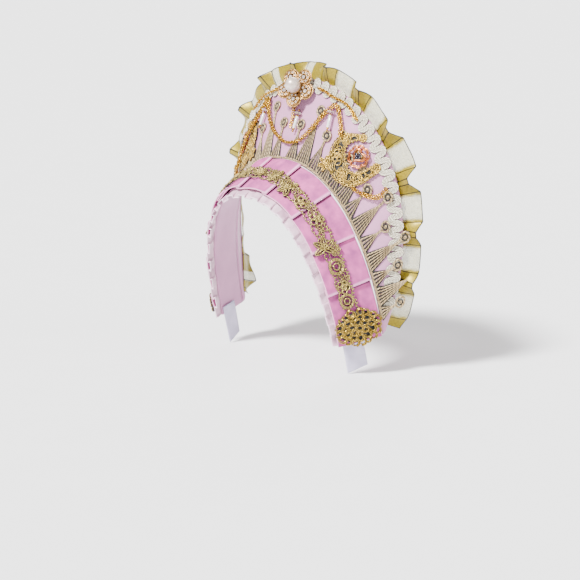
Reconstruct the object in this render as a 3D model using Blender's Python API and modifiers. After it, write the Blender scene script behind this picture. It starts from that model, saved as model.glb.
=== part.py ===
"""French hood: a satin crescent standing on a pleated ribbon headband, with lace, chains and a pearl brooch.

The hood is in its worn position, in metres: the front faces -Y, the left side as worn is +X, +Z is up.
The origin is the point under the middle of the crown where the headband is carried.
"""

from math import atan2, ceil, copysign, cos, exp, pi, radians, sin, tan
from typing import NamedTuple

import bmesh
import bpy
import numpy as np
from mathutils import Matrix, Vector
from mathutils.geometry import delaunay_2d_cdt


class Arch(NamedTuple):
    """A leaning arch from foot to foot: |x/half_width|^(2/roundness) + |z/height|^(2/roundness) = 1."""

    half_width: float
    height: float
    roundness: float
    lean: float
    foot_y: float
    foot_z: float


class Finish(NamedTuple):
    """Plain look of one kind of piece."""

    colour: tuple
    roughness: float
    metallic: float


class Ring(NamedTuple):
    """One ring of a lofted solid: radius as a function of angle, and height."""

    radius: object
    height: float


class Stop(NamedTuple):
    """One place a chain passes: run along the halo's foot, reach above it, and lift off it."""

    run: float
    reach: float
    lift: float


# Main form: the band runs between two arches, and the halo from the rear arch to the rim
FRONT_ARCH = Arch(0.0798, 0.1200, 0.86, radians(12.9), 0.0087, -0.1296)
REAR_ARCH = Arch(0.0938, 0.1351, 0.88, radians(12.0), 0.0452, -0.1221)
RIM_RADIUS = 0.1080
RIM_CENTRE_Z = -0.0279
RIM_LEAN = radians(6.7)
RIM_PLANE_Y = 0.0528
RIM_SWEEP = radians(125)
RIM_FOOT_GAP = Vector((0.002, 0.003, 0.006))
RIM_FOOT_BLEND = 5

# Walls and the clearances between the layers
CLEARANCE = 0.0004
HEADBAND_WALL = 0.0020
HEADBAND_FRONT_MARGIN = 0.0065
HALO_WALL = 0.0030
HALO_RIM_MARGIN = 0.0012
CLOTH_WALL = 0.0010
LACE_WALL = 0.0010

# Knife pleats of the pink ribbon, all laid the same way
PLEAT_PITCH = 0.0380
FIRST_FOLD = -0.1660
PLEAT_OVERHANG = 0.0015
PLEAT_TUCK = 0.0030
LAYER_SPACING = 0.0013
PANEL_PIECE = 0.0095
RIBBON_FRONT_MARGIN = 0.0015
RIBBON_REAR_MARGIN = 0.0008
BAND_END = 0.1868
RIBBON_FLOOR = CLEARANCE + CLOTH_WALL / 2
RIBBON_CREST = RIBBON_FLOOR + 2 * LAYER_SPACING + CLOTH_WALL / 2

# Box pleats of the pale frill under the front edge, and of the gold ruffle round the rim
FRILL_PITCH = 0.0190
FRILL_REACH = 0.0050
FRILL_DEPTH = 0.0022
FRILL_TAPER = 0.6
RUFFLE_PLEATS = 13
RUFFLE_FOLD = 0.10
RUFFLE_SIDE = 0.17
RUFFLE_REACH = 0.0150
RUFFLE_FOLD_REACH = 0.0100
RUFFLE_ROOT = 0.0060
RUFFLE_DEPTH = 0.0084
RUFFLE_FLARE = 0.0105
RUFFLE_PRESS = 0.75
RUFFLE_PRESS_RUN = 0.026
RUFFLE_CALM = 0.9
RUFFLE_BEND = 0.0008
RIM_TRIM_END = 0.99

# Gimp braid along the rim
GIMP_WIDTH = 0.0105
GIMP_WALL = 0.0016
GIMP_SCALLOP = 0.0010
GIMP_PITCH = 0.0105
GIMP_END = 0.93

# Ray lace: run is the distance from the crown along the halo's foot, reach the height above it
RAY_BASE = 0.0016
RAY_STRIP = 0.0034
LONG_RAY_HALF_WIDTH = 0.0064
SHORT_RAY_HALF_WIDTH = 0.0046
RING_RADIUS = 0.0030
RING_HOLE = 0.0014
RAY_FIRST_RUN = 0.0010
RAY_STRIP_PIECE = 0.0070
LACE_CLIMB_START = 0.0190
LACE_CLIMB = 0.0020
SHORT_RAYS = (
    dict(run=0.0103, reach=0.032),
    dict(run=0.0365, reach=0.032),
    dict(run=0.0600, reach=0.030),
    dict(run=0.0848, reach=0.0274),
    dict(run=0.1134, reach=0.0269),
    dict(run=0.1420, reach=0.0258),
    dict(run=0.1690, reach=0.0200),
)
LONG_RAYS = (
    dict(run=0.0238, reach=0.0475, ring=True),
    dict(run=0.0482, reach=0.0400, ring=True),
    dict(run=0.0725, reach=0.0400, ring=False),
    dict(run=0.0990, reach=0.0395, ring=True),
    dict(run=0.1280, reach=0.0390, ring=True),
    dict(run=0.1560, reach=0.0300, ring=False),
)

# Flower braid along the band
BRAID_HALF_WIDTH = 0.0058
BRAID_PITCH = 0.0100
BRAID_SCALLOP = 0.0010
BRAID_END = 0.1560
BRAID_HOLE = 0.0016
BRAID_CROWN_ALONG = 0.0195
BRAID_SIDE_ALONG = 0.0165
BRAID_EASE = 0.0500

# Lace plaque: the middle of its C on the halo, and its half width there
PLAQUE_PATH = (
    dict(run=0.0585, reach=0.0505, half_width=0.0014),
    dict(run=0.0535, reach=0.0440, half_width=0.0026),
    dict(run=0.0505, reach=0.0370, half_width=0.0042),
    dict(run=0.0515, reach=0.0295, half_width=0.0056),
    dict(run=0.0565, reach=0.0225, half_width=0.0066),
    dict(run=0.0640, reach=0.0185, half_width=0.0062),
    dict(run=0.0715, reach=0.0205, half_width=0.0050),
    dict(run=0.0762, reach=0.0275, half_width=0.0038),
    dict(run=0.0778, reach=0.0350, half_width=0.0030),
    dict(run=0.0788, reach=0.0425, half_width=0.0030),
)
PLAQUE_HOLE = 0.0013

# Medallion, brooch and rosette, each a scalloped metal plate with raised rims
MEDALLION_RUN = 0.0655
MEDALLION_REACH = 0.0375
MEDALLION_RADIUS = 0.0088
MEDALLION_LIFT = 0.0021
STONE_RADIUS = 0.0034
BROOCH_RUN = 0.0010
BROOCH_REACH = 0.0600
BROOCH_RADIUS = 0.0165
BROOCH_LIFT = 0.0080
BROOCH_TILT = radians(20)
BROOCH_FOOT_RADIUS = 0.0040
BROOCH_FOOT = 0.0046
BROOCH_FLOOR = 0.0005
BROOCH_PETALS = 5
BROOCH_TURN = radians(62)
PEARL_RADIUS = 0.0063
ROSETTE_RUN = 0.1730
ROSETTE_ALONG = 0.0200
ROSETTE_RADIUS = 0.0200
ROSETTE_SQUASH = 0.74

# Chains, each made as a tube of the links' outer width
CHAIN_RADIUS = 0.0009
CHAIN_POINTS = 14
CHAIN_OVER_LACE = 0.0028
CHAIN_OVER_GIMP = 0.0034
CHAIN_OVER_PLAQUE = 0.0043
BUGLE_RADIUS = 0.0013

# Ribbon ties at the band's ends
TIE_WIDTH = 0.0175
TIE_LENGTH = 0.0260
TIE_SLANT = 0.0030
TIE_ROOT = 0.0060
TIE_RUN = 0.1858
TIE_ALONG = 0.0155
TIE_WALL = 0.0010

FINISHES = {
    "velvet": Finish((0.70, 0.33, 0.50, 1), 0.85, 0.0),
    "satin": Finish((0.74, 0.55, 0.60, 1), 0.45, 0.0),
    "white_satin": Finish((0.72, 0.70, 0.78, 1), 0.40, 0.0),
    "organza": Finish((0.78, 0.66, 0.25, 1), 0.50, 0.0),
    "cream_cord": Finish((0.76, 0.72, 0.58, 1), 0.70, 0.0),
    "gold_thread": Finish((0.47, 0.36, 0.17, 1), 0.50, 0.6),
    "gold": Finish((0.70, 0.42, 0.13, 1), 0.30, 1.0),
    "rose_gold": Finish((0.74, 0.42, 0.26, 1), 0.30, 1.0),
    "stone": Finish((0.05, 0.02, 0.06, 1), 0.08, 0.0),
    "pearl": Finish((0.86, 0.80, 0.78, 1), 0.18, 0.0),
    "glass": Finish((0.88, 0.88, 0.88, 1), 0.10, 0.0),
}

SHARES = np.linspace(-1, 1, 801)
SHARE_STEP = 0.002
REACH_STEP = 0.0005
SIDES = (("left", 1), ("right", -1))


def arch_point(arch, share):
    """Point of an arch: share is -1 at the right foot, 0 at the crown and 1 at the left foot."""
    angle = share * pi / 2
    across = copysign(arch.half_width * abs(sin(angle)) ** arch.roundness, share)
    up = arch.height * abs(cos(angle)) ** arch.roundness
    return Vector((across, arch.foot_y - tan(arch.lean) * up, arch.foot_z + up))


def circle_point(swing):
    """Point of the rim's leaning circle, at an angle from its top."""
    height = RIM_CENTRE_Z + RIM_RADIUS * cos(swing)
    return Vector((RIM_RADIUS * sin(swing), RIM_PLANE_Y - tan(RIM_LEAN) * height, height))


def rim_point(share):
    """Point of the rim, which leaves its circle near the feet to meet the band's rear corners."""
    side = copysign(1, share)
    gap = Vector((side * RIM_FOOT_GAP.x, RIM_FOOT_GAP.y, RIM_FOOT_GAP.z))
    foot = arch_point(REAR_ARCH, side) + gap
    drift = foot - circle_point(side * RIM_SWEEP)
    return circle_point(share * RIM_SWEEP) + drift * abs(share) ** RIM_FOOT_BLEND


def front_point(share):
    """Point of the band's front edge."""
    return arch_point(FRONT_ARCH, share)


def rear_point(share):
    """Point of the band's rear edge, where the halo stands."""
    return arch_point(REAR_ARCH, share)


def run_table(edge):
    """Distances along an edge from the crown, one for each of SHARES."""
    points = np.array([edge(share) for share in SHARES])
    steps = np.linalg.norm(np.diff(points, axis=0), axis=1)
    runs = np.concatenate(([0.0], np.cumsum(steps)))
    return runs - runs[len(runs) // 2]


REAR_RUNS = run_table(rear_point)
RIM_RUNS = run_table(rim_point)


def rear_share(run):
    """Share of the rear edge at a distance from the crown."""
    return float(np.interp(run, REAR_RUNS, SHARES))


def rim_share(run):
    """Share of the rim at a distance from the crown."""
    return float(np.interp(run, RIM_RUNS, SHARES))


def ruled_point(low, high, share, out, lift):
    """Point on the surface ruled from low to high, `out` from low and raised by lift."""
    ruling = (high(share) - low(share)).normalized()
    ahead, behind = min(share + SHARE_STEP, 1), max(share - SHARE_STEP, -1)
    fraction = out / (high(share) - low(share)).length
    tangent = low(ahead).lerp(high(ahead), fraction) - low(behind).lerp(high(behind), fraction)
    normal = tangent.cross(ruling).normalized()
    return low(share) + ruling * out + normal * lift


def band_point(share, along, lift=0.0):
    """Point over the band: along from its front edge, lift off its upper face."""
    return ruled_point(front_point, rear_point, share, along, lift)


def halo_point(share, out, lift=0.0):
    """Point over the halo: out from its foot, lift off its front face."""
    return ruled_point(rear_point, rim_point, share, out, lift)


def band_width(share):
    """Width of the band there."""
    return (rear_point(share) - front_point(share)).length


def halo_breadth(share):
    """Breadth of the halo there, from its foot to the rim."""
    return (rim_point(share) - rear_point(share)).length


def surface_frame(surface, share, out, lift):
    """Axes on a surface: x along it to the left, y outwards, z off it, and the place as origin."""
    centre = surface(share, out, lift)
    ahead, behind = min(share + SHARE_STEP, 1), max(share - SHARE_STEP, -1)
    x = (surface(ahead, out, lift) - surface(behind, out, lift)).normalized()
    ruling = surface(share, out + REACH_STEP, lift) - surface(share, out - REACH_STEP, lift)
    z = x.cross(ruling).normalized()
    y = z.cross(x)
    frame = Matrix((x, y, z)).transposed().to_4x4()
    frame.translation = centre
    return frame


def near(surface, share, out, x, y, lift):
    """Point on a surface that lies x and y from an anchor, seen straight on, raised by lift."""
    frame = surface_frame(surface, share, out, 0.0)
    level = frame.inverted()
    goal = np.array((x, y))
    guess = np.array((share, out))
    for _ in range(4):
        here = np.array((level @ surface(*guess, 0.0))[:2])
        by_share = np.array((level @ surface(guess[0] - SHARE_STEP, guess[1], 0.0))[:2])
        by_out = np.array((level @ surface(guess[0], guess[1] + REACH_STEP, 0.0))[:2])
        slopes = np.column_stack(((here - by_share) / SHARE_STEP, (by_out - here) / REACH_STEP))
        guess = guess + np.linalg.solve(slopes, goal - here)
    return surface(guess[0], guess[1], lift)


def rim_inward(share, distance, lift):
    """Point on the halo square in from the rim."""
    return near(halo_point, share, halo_breadth(share), 0.0, -distance, lift)


def rim_outward(share, distance, lift):
    """Point past the rim, square out from it in the halo's own plane there."""
    frame = surface_frame(halo_point, share, halo_breadth(share), 0.0)
    return frame @ Vector((0.0, distance, lift))


def material(name):
    """The material of a finish, made once."""
    if name in bpy.data.materials:
        return bpy.data.materials[name]
    finish = FINISHES[name]
    made = bpy.data.materials.new(name)
    made.use_nodes = True
    shader = made.node_tree.nodes["Principled BSDF"]
    shader.inputs["Base Color"].default_value = finish.colour
    shader.inputs["Roughness"].default_value = finish.roughness
    shader.inputs["Metallic"].default_value = finish.metallic
    return made


def add_object(name, data, finish):
    """Put a mesh or curve in the hood's collection under a name, with its material."""
    item = bpy.data.objects.new(name, data)
    data.materials.append(material(finish))
    bpy.data.collections["french_hood"].objects.link(item)
    return item


def add_sheet(name, finish, columns, rows, place, wall, offset=0.0):
    """A grid of cloth: place(i, j) gives each crossing, and Solidify the wall."""
    mesh = bpy.data.meshes.new(name)
    bm = bmesh.new()
    bmesh.ops.create_grid(bm, x_segments=columns - 1, y_segments=rows - 1, size=1)
    for vertex in bm.verts:
        i = round((vertex.co.x + 1) / 2 * (columns - 1))
        j = round((vertex.co.y + 1) / 2 * (rows - 1))
        vertex.co = place(i, j)
    bm.to_mesh(mesh)
    bm.free()
    sheet = add_object(name, mesh, finish)
    solid = sheet.modifiers.new("wall", "SOLIDIFY")
    solid.thickness = wall
    solid.offset = offset
    solid.use_even_offset = True
    return sheet


def inside(point, outline):
    """Whether a flat point lies inside a closed outline."""
    crossings = 0
    for (x0, y0), (x1, y1) in zip(outline, outline[1:] + outline[:1]):
        if (y0 > point.y) != (y1 > point.y):
            crossings += point.x < x0 + (x1 - x0) * (point.y - y0) / (y1 - y0)
    return crossings % 2 == 1


def add_cut_sheet(name, finish, outline, holes, place, wall, side=1):
    """A flat sheet cut to an outline with holes, then laid on a surface by place(x, y).

    On the right side, -1, place turns the pattern over, so its faces are turned back.
    """
    loops = [outline] + holes
    points = [Vector(point) for loop in loops for point in loop]
    edges = []
    for loop in loops:
        first = len(edges)
        edges += [(first + k, first + (k + 1) % len(loop)) for k in range(len(loop))]
    cut = delaunay_2d_cdt(points, edges, [], 1, 0.000001)
    mesh = bpy.data.meshes.new(name)
    bm = bmesh.new()
    corners = [bm.verts.new((point.x, point.y, 0)) for point in cut[0]]
    for triangle in cut[2]:
        centre = (cut[0][triangle[0]] + cut[0][triangle[1]] + cut[0][triangle[2]]) / 3
        if not any(inside(centre, hole) for hole in holes):
            bm.faces.new([corners[k] for k in triangle])
    if side < 0:
        bmesh.ops.reverse_faces(bm, faces=bm.faces)
    for vertex in bm.verts:
        vertex.co = place(vertex.co.x, vertex.co.y)
    bm.to_mesh(mesh)
    bm.free()
    sheet = add_object(name, mesh, finish)
    solid = sheet.modifiers.new("wall", "SOLIDIFY")
    solid.thickness = wall
    solid.offset = 1.0
    return sheet


def add_rings(name, finish, sides, rings, frame):
    """A solid lofted through closed rings, bottom first."""
    mesh = bpy.data.meshes.new(name)
    bm = bmesh.new()
    loops = []
    for radius, height in rings:
        angles = [2 * pi * k / sides for k in range(sides)]
        loops.append([bm.verts.new((radius(a) * cos(a), radius(a) * sin(a), height)) for a in angles])
    for low, high in zip(loops, loops[1:]):
        for k in range(sides):
            following = (k + 1) % sides
            bm.faces.new((low[k], low[following], high[following], high[k]))
    bm.faces.new(list(reversed(loops[0])))
    bm.faces.new(loops[-1])
    bm.to_mesh(mesh)
    bm.free()
    solid = add_object(name, mesh, finish)
    solid.matrix_world = frame
    return solid


def add_tube(name, finish, points, radius):
    """A round tube through points, as a chain's outer width."""
    curve = bpy.data.curves.new(name, "CURVE")
    curve.dimensions = "3D"
    curve.bevel_depth = radius
    curve.bevel_resolution = 1
    curve.use_fill_caps = True
    spline = curve.splines.new("POLY")
    spline.points.add(len(points) - 1)
    for target, point in zip(spline.points, points):
        target.co = (*point, 1.0)
    return add_object(name, curve, finish)


def smooth_path(stops, count):
    """Evenly spread points on a smooth curve through stops, as tuples of numbers."""
    table = np.array(stops, float)
    padded = np.vstack((2 * table[0] - table[1], table, 2 * table[-1] - table[-2]))
    dense = []
    for k in range(len(table) - 1):
        a, b, c, d = padded[k : k + 4]
        for t in np.linspace(0, 1, 16, endpoint=k == len(table) - 2):
            cubic = (2 * a - 5 * b + 4 * c - d) * t**2 + (3 * b - a - 3 * c + d) * t**3
            dense.append(0.5 * (2 * b + (c - a) * t + cubic))
    dense = np.array(dense)
    runs = np.concatenate(([0], np.cumsum(np.linalg.norm(np.diff(dense[:, :2], axis=0), axis=1))))
    places = np.linspace(0, runs[-1], count)
    return np.column_stack([np.interp(places, runs, dense[:, k]) for k in range(dense.shape[1])])


def round_outline(x, y, radius, sides):
    """A polygon round a point."""
    angles = [2 * pi * k / sides for k in range(sides)]
    return [(x + radius * cos(angle), y + radius * sin(angle)) for angle in angles]


def make_headband():
    """Stiff arch that carries everything."""
    columns = 45

    def place(i, j):
        share = rear_share(BAND_END * (2 * i / (columns - 1) - 1))
        rear = band_width(share) - CLEARANCE
        return band_point(share, HEADBAND_FRONT_MARGIN + (rear - HEADBAND_FRONT_MARGIN) * j / 2)

    add_sheet("headband", "satin", columns, 3, place, HEADBAND_WALL, offset=-1.0)


def make_halo_board():
    """Padded board of the halo, covered in satin."""
    columns, rows = 49, 4

    def place(i, j):
        share = rear_share(BAND_END * (2 * i / (columns - 1) - 1))
        breadth = halo_breadth(share) - CLEARANCE - HALO_RIM_MARGIN
        return halo_point(share, CLEARANCE + breadth * j / (rows - 1))

    add_sheet("halo_board", "satin", columns, rows, place, HALO_WALL, offset=-1.0)


def pleat_line():
    """Run and lift of the ribbon's middle along the whole band, with a fold under each panel's left end."""
    line = [(-BAND_END, RIBBON_FLOOR)]
    top = RIBBON_FLOOR + 2 * LAYER_SPACING
    start = -BAND_END
    fold = FIRST_FOLD
    turn = LAYER_SPACING / 2
    while fold < BAND_END - 0.25 * PLEAT_PITCH:
        nose, heel = fold + PLEAT_OVERHANG, fold - PLEAT_TUCK
        level = start + 2 * PLEAT_OVERHANG + turn
        pieces = max(1, ceil((nose - level) / PANEL_PIECE))
        for k in range(pieces + 1):
            part = k / pieces
            line.append((level + (nose - level) * part, RIBBON_FLOOR + (top - RIBBON_FLOOR) * part))
        bends = [(turn * sin(pi * k / 3), turn * cos(pi * k / 3)) for k in (1, 2)]
        line += [(nose + along, top - turn + up) for along, up in bends]
        line += [(nose, top - 2 * turn), (heel, top - 2 * turn)]
        line += [(heel - along, RIBBON_FLOOR + turn + up) for along, up in bends]
        line.append((heel, RIBBON_FLOOR))
        start = fold
        fold += PLEAT_PITCH
    level = start + 2 * PLEAT_OVERHANG + turn
    line += [(level, RIBBON_FLOOR), (BAND_END, RIBBON_FLOOR + LAYER_SPACING / 2)]
    return line


def make_pleated_ribbon():
    """Wide pink ribbon in knife pleats over the headband."""
    line = pleat_line()

    def place(i, j):
        run, lift = line[i]
        share = rear_share(run)
        rear = band_width(share) - RIBBON_REAR_MARGIN
        return band_point(share, RIBBON_FRONT_MARGIN + (rear - RIBBON_FRONT_MARGIN) * j, lift)

    add_sheet("pleated_ribbon", "velvet", len(line), 2, place, CLOTH_WALL)


def make_under_frill():
    """Pale box-pleated edge that shows in front of the pink ribbon."""
    pleats = int(2 * BAND_END / FRILL_PITCH)
    pitch = 2 * BAND_END / pleats
    line = []
    for pleat in range(pleats):
        for part, level in ((0.0, 0), (0.42, 0), (0.5, 1), (0.92, 1)):
            line.append((-BAND_END + (pleat + part) * pitch, level))
    line.append((BAND_END, 0))
    top = -CLOTH_WALL / 2 - CLEARANCE / 2

    def place(i, j):
        run, level = line[i]
        share = rear_share(run)
        root = HEADBAND_FRONT_MARGIN - CLEARANCE
        reach = FRILL_REACH * (1 - FRILL_TAPER * abs(share) ** 3)
        drop = FRILL_DEPTH * level * j + CLEARANCE * level
        return band_point(share, root - (reach + root) * j, top - drop)

    add_sheet("under_frill", "white_satin", len(line), 2, place, CLOTH_WALL)


def make_gold_ruffle():
    """Box-pleated organza round the rim, its root behind the halo board, its narrow folds to the front."""
    limit = RIM_RUNS[-1] * RIM_TRIM_END
    pitch = 2 * limit / RUFFLE_PLEATS
    line = []
    for pleat in range(RUFFLE_PLEATS):
        for part, level in ((0.0, 0), (RUFFLE_FOLD, 0), (RUFFLE_FOLD + RUFFLE_SIDE, 1), (1 - RUFFLE_SIDE, 1)):
            line.append((-limit + (pleat + part) * pitch, level))
    line.append((limit, 0))
    root_lift = -HALO_WALL - CLEARANCE - CLOTH_WALL / 2

    def place(i, j):
        run, level = line[i]
        share = rim_share(run)
        if j == 0:
            breadth = halo_breadth(share)
            return halo_point(share, max(breadth - RUFFLE_ROOT, 0.5 * breadth), root_lift)
        if j == 1:
            return rim_outward(share, RUFFLE_BEND, root_lift - RUFFLE_BEND * level)
        reach = RUFFLE_REACH if level else RUFFLE_FOLD_REACH
        flare = RUFFLE_FLARE * (1 - RUFFLE_PRESS * exp(-((run / RUFFLE_PRESS_RUN) ** 2)))
        flare *= 1 - RUFFLE_CALM * abs(run / limit) ** 3
        return rim_outward(share, reach, root_lift + flare - RUFFLE_DEPTH * (level - 0.5))

    add_sheet("gold_ruffle", "organza", len(line), 3, place, CLOTH_WALL)


def make_gimp_braid():
    """Scroll gimp over the root of the ruffle, its two edges scalloped out of step."""
    limit = RIM_RUNS[-1] * GIMP_END
    scallops = round(2 * limit / GIMP_PITCH)
    columns = 3 * scallops + 1

    def place(i, j):
        run = limit * (2 * i / (columns - 1) - 1)
        swing = 2 * pi * (i / 3 + 0.5 * j)
        edge = GIMP_SCALLOP * cos(swing)
        distance = GIMP_SCALLOP + edge if j else GIMP_WIDTH + edge
        return rim_inward(rim_share(run), distance, CLEARANCE)

    add_sheet("gimp_braid", "cream_cord", columns, 2, place, GIMP_WALL, offset=1.0)


def ray_outline():
    """Outline and holes of one side's ray lace: x is the run along the foot, y the reach."""
    rays = [dict(ray, ring=True, half=SHORT_RAY_HALF_WIDTH) for ray in SHORT_RAYS]
    rays += [dict(ray, half=LONG_RAY_HALF_WIDTH) for ray in LONG_RAYS]
    rays.sort(key=lambda ray: ray["run"])
    first, last = RAY_FIRST_RUN, rays[-1]["run"] + SHORT_RAY_HALF_WIDTH + CLEARANCE
    strip = ceil((last - first) / RAY_STRIP_PIECE)
    outline = [(first + (last - first) * k / strip, RAY_BASE) for k in range(strip + 1)]
    holes = []
    tops = [(first, RAY_STRIP)]
    for ray in rays:
        run, reach, half = ray["run"], ray["reach"], ray["half"]
        wide = stretch(run, reach)
        tops.append((run - half, RAY_STRIP))
        slit = reach * 0.62
        if ray["ring"]:
            for k in range(8):
                swing = radians(-110 - 320 * k / 7)
                tops.append((run + RING_RADIUS / wide * cos(swing), reach + RING_RADIUS * sin(swing)))
            hole = round_outline(0, 0, RING_HOLE, 6)
            holes.append([(run + x / wide, reach + y) for x, y in hole])
            slit = (reach - RING_RADIUS) * 0.66
        else:
            tops.append((run, reach))
        tops.append((run + half, RAY_STRIP))
        for side in (-1, 1):
            inner, outer = side * half * 0.14, side * half * 0.62
            foot = RAY_STRIP + 2 * CLEARANCE
            holes.append([(run + inner, foot), (run + outer, foot), (run + side * half * 0.20, slit)])
    tops.append((last, RAY_STRIP))
    return outline + tops[::-1], holes


def stretch(run, reach):
    """How much longer a run is at a reach up the halo than at its foot."""
    here = halo_point(rear_share(run), reach)
    ahead = halo_point(rear_share(run + REACH_STEP), reach)
    return (ahead - here).length / REACH_STEP


def rim_inset(share, out):
    """Square distance of a point on the halo from the rim, on its own ruling."""
    along = (rim_point(min(share + SHARE_STEP, 1)) - rim_point(max(share - SHARE_STEP, -1))).normalized()
    ruling = rim_point(share) - rear_point(share)
    return (ruling.length - out) * along.cross(ruling.normalized()).length


def make_ray_lace():
    """Thread lace of long and short rays, one piece each side of the crown; its tips rise over the gimp."""
    outline, holes = ray_outline()
    for name, side in SIDES:

        def place(x, y):
            share = rear_share(side * x)
            climb = (LACE_CLIMB_START - rim_inset(share, y)) / LACE_CLIMB
            lift = CLEARANCE + (GIMP_WALL + 3 * CLEARANCE) * min(1.0, max(0.0, climb))
            return halo_point(share, y, lift)

        add_cut_sheet("ray_lace_" + name, "gold_thread", outline, holes, place, LACE_WALL, side)


def braid_along(run):
    """Distance of the flower braid's middle from the band's front edge."""
    ease = min(1.0, abs(run) / BRAID_EASE) ** 2
    return BRAID_CROWN_ALONG + (BRAID_SIDE_ALONG - BRAID_CROWN_ALONG) * ease


def make_flower_braid():
    """Gold lace braid over the pleats, scalloped, with an eyelet in each flower."""
    scallops = round(2 * BRAID_END / BRAID_PITCH)
    pitch = 2 * BRAID_END / scallops
    low, high, holes = [], [], []
    for k in range(2 * scallops + 1):
        run = -BRAID_END + k * pitch / 2
        edge = BRAID_HALF_WIDTH + (BRAID_SCALLOP if k % 2 else -BRAID_SCALLOP)
        low.append((run, -edge))
        high.append((run, edge))
        if k % 4 == 1:
            holes.append([(run + x, y) for x, y in round_outline(0, 0, BRAID_HOLE, 6)])

    def place(x, y):
        return band_point(rear_share(x), braid_along(x) + y, RIBBON_CREST + CLEARANCE)

    add_cut_sheet("flower_braid", "gold_thread", low + high[::-1], holes, place, LACE_WALL)


def make_plaques():
    """C-shaped lace plaques over the rays, with eyelets along their middle."""
    columns = ("run", "reach", "half_width")
    path = smooth_path([[row[column] for column in columns] for row in PLAQUE_PATH], 17)
    level = CLEARANCE + LACE_WALL + CLEARANCE
    for name, side in SIDES:
        centre = Vector((MEDALLION_RUN, MEDALLION_REACH))
        wide = stretch(*centre)
        flat = [Vector(((run - centre.x) * wide, reach - centre.y)) for run, reach, _ in path]
        outer, inner, holes = [], [], []
        for k, point in enumerate(flat):
            ahead = flat[min(k + 1, len(flat) - 1)] - flat[max(k - 1, 0)]
            across = Vector((-ahead.y, ahead.x)).normalized()
            half = path[k][2] * (1.12 if k % 2 else 0.94)
            outer.append(point - across * half)
            inner.append(point + across * half)
            if k % 2 == 0 and half > 1.9 * PLAQUE_HOLE:
                holes.append(round_outline(point.x, point.y, PLAQUE_HOLE, 6))

        def place(x, y):
            return near(halo_point, rear_share(side * centre.x), centre.y, side * x, y, level)

        edge = [tuple(point) for point in outer + inner[::-1]]
        add_cut_sheet("plaque_" + name, "gold_thread", edge, holes, place, LACE_WALL, side)


def scalloped(radius, lobes, depth, turn=0.0):
    """Radius of a scalloped circle as a function of angle."""
    return lambda angle: radius * (1 - depth + depth * abs(cos(lobes * (angle - turn) / 2)))


def even(radius):
    """Radius of a plain circle as a function of angle."""
    return lambda angle: radius


def make_medallions():
    """Scalloped medallions with a bezel, and a cut stone in each."""
    for name, side in SIDES:
        share = rear_share(side * MEDALLION_RUN)
        frame = surface_frame(halo_point, share, MEDALLION_REACH, MEDALLION_LIFT)
        edge = scalloped(MEDALLION_RADIUS, 8, 0.16)
        rings = (
            Ring(scalloped(MEDALLION_RADIUS * 0.94, 8, 0.16), 0.0),
            Ring(edge, 0.0010),
            Ring(even(MEDALLION_RADIUS * 0.66), 0.0012),
            Ring(even(MEDALLION_RADIUS * 0.60), 0.0024),
            Ring(even(STONE_RADIUS + CLEARANCE), 0.0024),
            Ring(even(STONE_RADIUS * 0.9), 0.0009),
        )
        add_rings("medallion_" + name, "rose_gold", 24, rings, frame)
        cut = (
            Ring(even(STONE_RADIUS * 0.30), 0.0012),
            Ring(even(STONE_RADIUS * 0.96), 0.0022),
            Ring(even(STONE_RADIUS * 0.96), 0.0026),
            Ring(even(STONE_RADIUS * 0.58), 0.0036),
        )
        add_rings("stone_" + name, "stone", 8, cut, frame @ Matrix.Translation((0, 0, CLEARANCE)))


def make_brooch():
    """Five filigree petals round a pearl, on a foot over the gimp at the crown, turned to the left."""
    frame = surface_frame(halo_point, rear_share(BROOCH_RUN), BROOCH_REACH, BROOCH_LIFT)
    frame = frame @ Matrix.Rotation(BROOCH_TILT, 4, "Y")
    petals, turn = BROOCH_PETALS, BROOCH_TURN
    rings = (
        Ring(even(BROOCH_FOOT_RADIUS), -BROOCH_FOOT),
        Ring(even(BROOCH_FOOT_RADIUS), 0.0),
        Ring(scalloped(BROOCH_RADIUS * 0.96, petals, 0.34, turn), 0.0),
        Ring(scalloped(BROOCH_RADIUS, petals, 0.34, turn), 0.0012),
        Ring(scalloped(BROOCH_RADIUS * 0.86, petals, 0.30, turn), 0.0026),
        Ring(scalloped(BROOCH_RADIUS * 0.60, petals, 0.20, turn), 0.0018),
        Ring(even(PEARL_RADIUS * 0.84), 0.0026),
        Ring(even(PEARL_RADIUS * 0.50), BROOCH_FLOOR),
    )
    add_rings("brooch", "gold", 40, rings, frame)
    mesh = bpy.data.meshes.new("brooch_pearl")
    bm = bmesh.new()
    bmesh.ops.create_uvsphere(bm, u_segments=16, v_segments=8, radius=PEARL_RADIUS)
    bm.to_mesh(mesh)
    bm.free()
    mesh.shade_smooth()
    pearl = add_object("brooch_pearl", mesh, "pearl")
    pearl.matrix_world = frame @ Matrix.Translation((0, 0, BROOCH_FLOOR + 2 * CLEARANCE + PEARL_RADIUS))


def make_rosettes():
    """Filigree rosettes over the band's ends, their scrolls as eight lobes and a raised middle."""
    for name, side in SIDES:
        share = rear_share(side * ROSETTE_RUN)
        frame = surface_frame(band_point, share, ROSETTE_ALONG, RIBBON_CREST + CLEARANCE)
        squash = Matrix.Diagonal((ROSETTE_SQUASH, 1, 1, 1))
        rings = (
            Ring(scalloped(ROSETTE_RADIUS * 0.97, 8, 0.18), 0.0),
            Ring(scalloped(ROSETTE_RADIUS, 8, 0.18), 0.0008),
            Ring(scalloped(ROSETTE_RADIUS * 0.86, 8, 0.20), 0.0018),
            Ring(scalloped(ROSETTE_RADIUS * 0.46, 8, 0.10), 0.0012),
            Ring(even(ROSETTE_RADIUS * 0.30), 0.0030),
            Ring(even(ROSETTE_RADIUS * 0.12), 0.0034),
        )
        add_rings("rosette_" + name, "gold_thread", 32, rings, frame @ squash)


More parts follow.
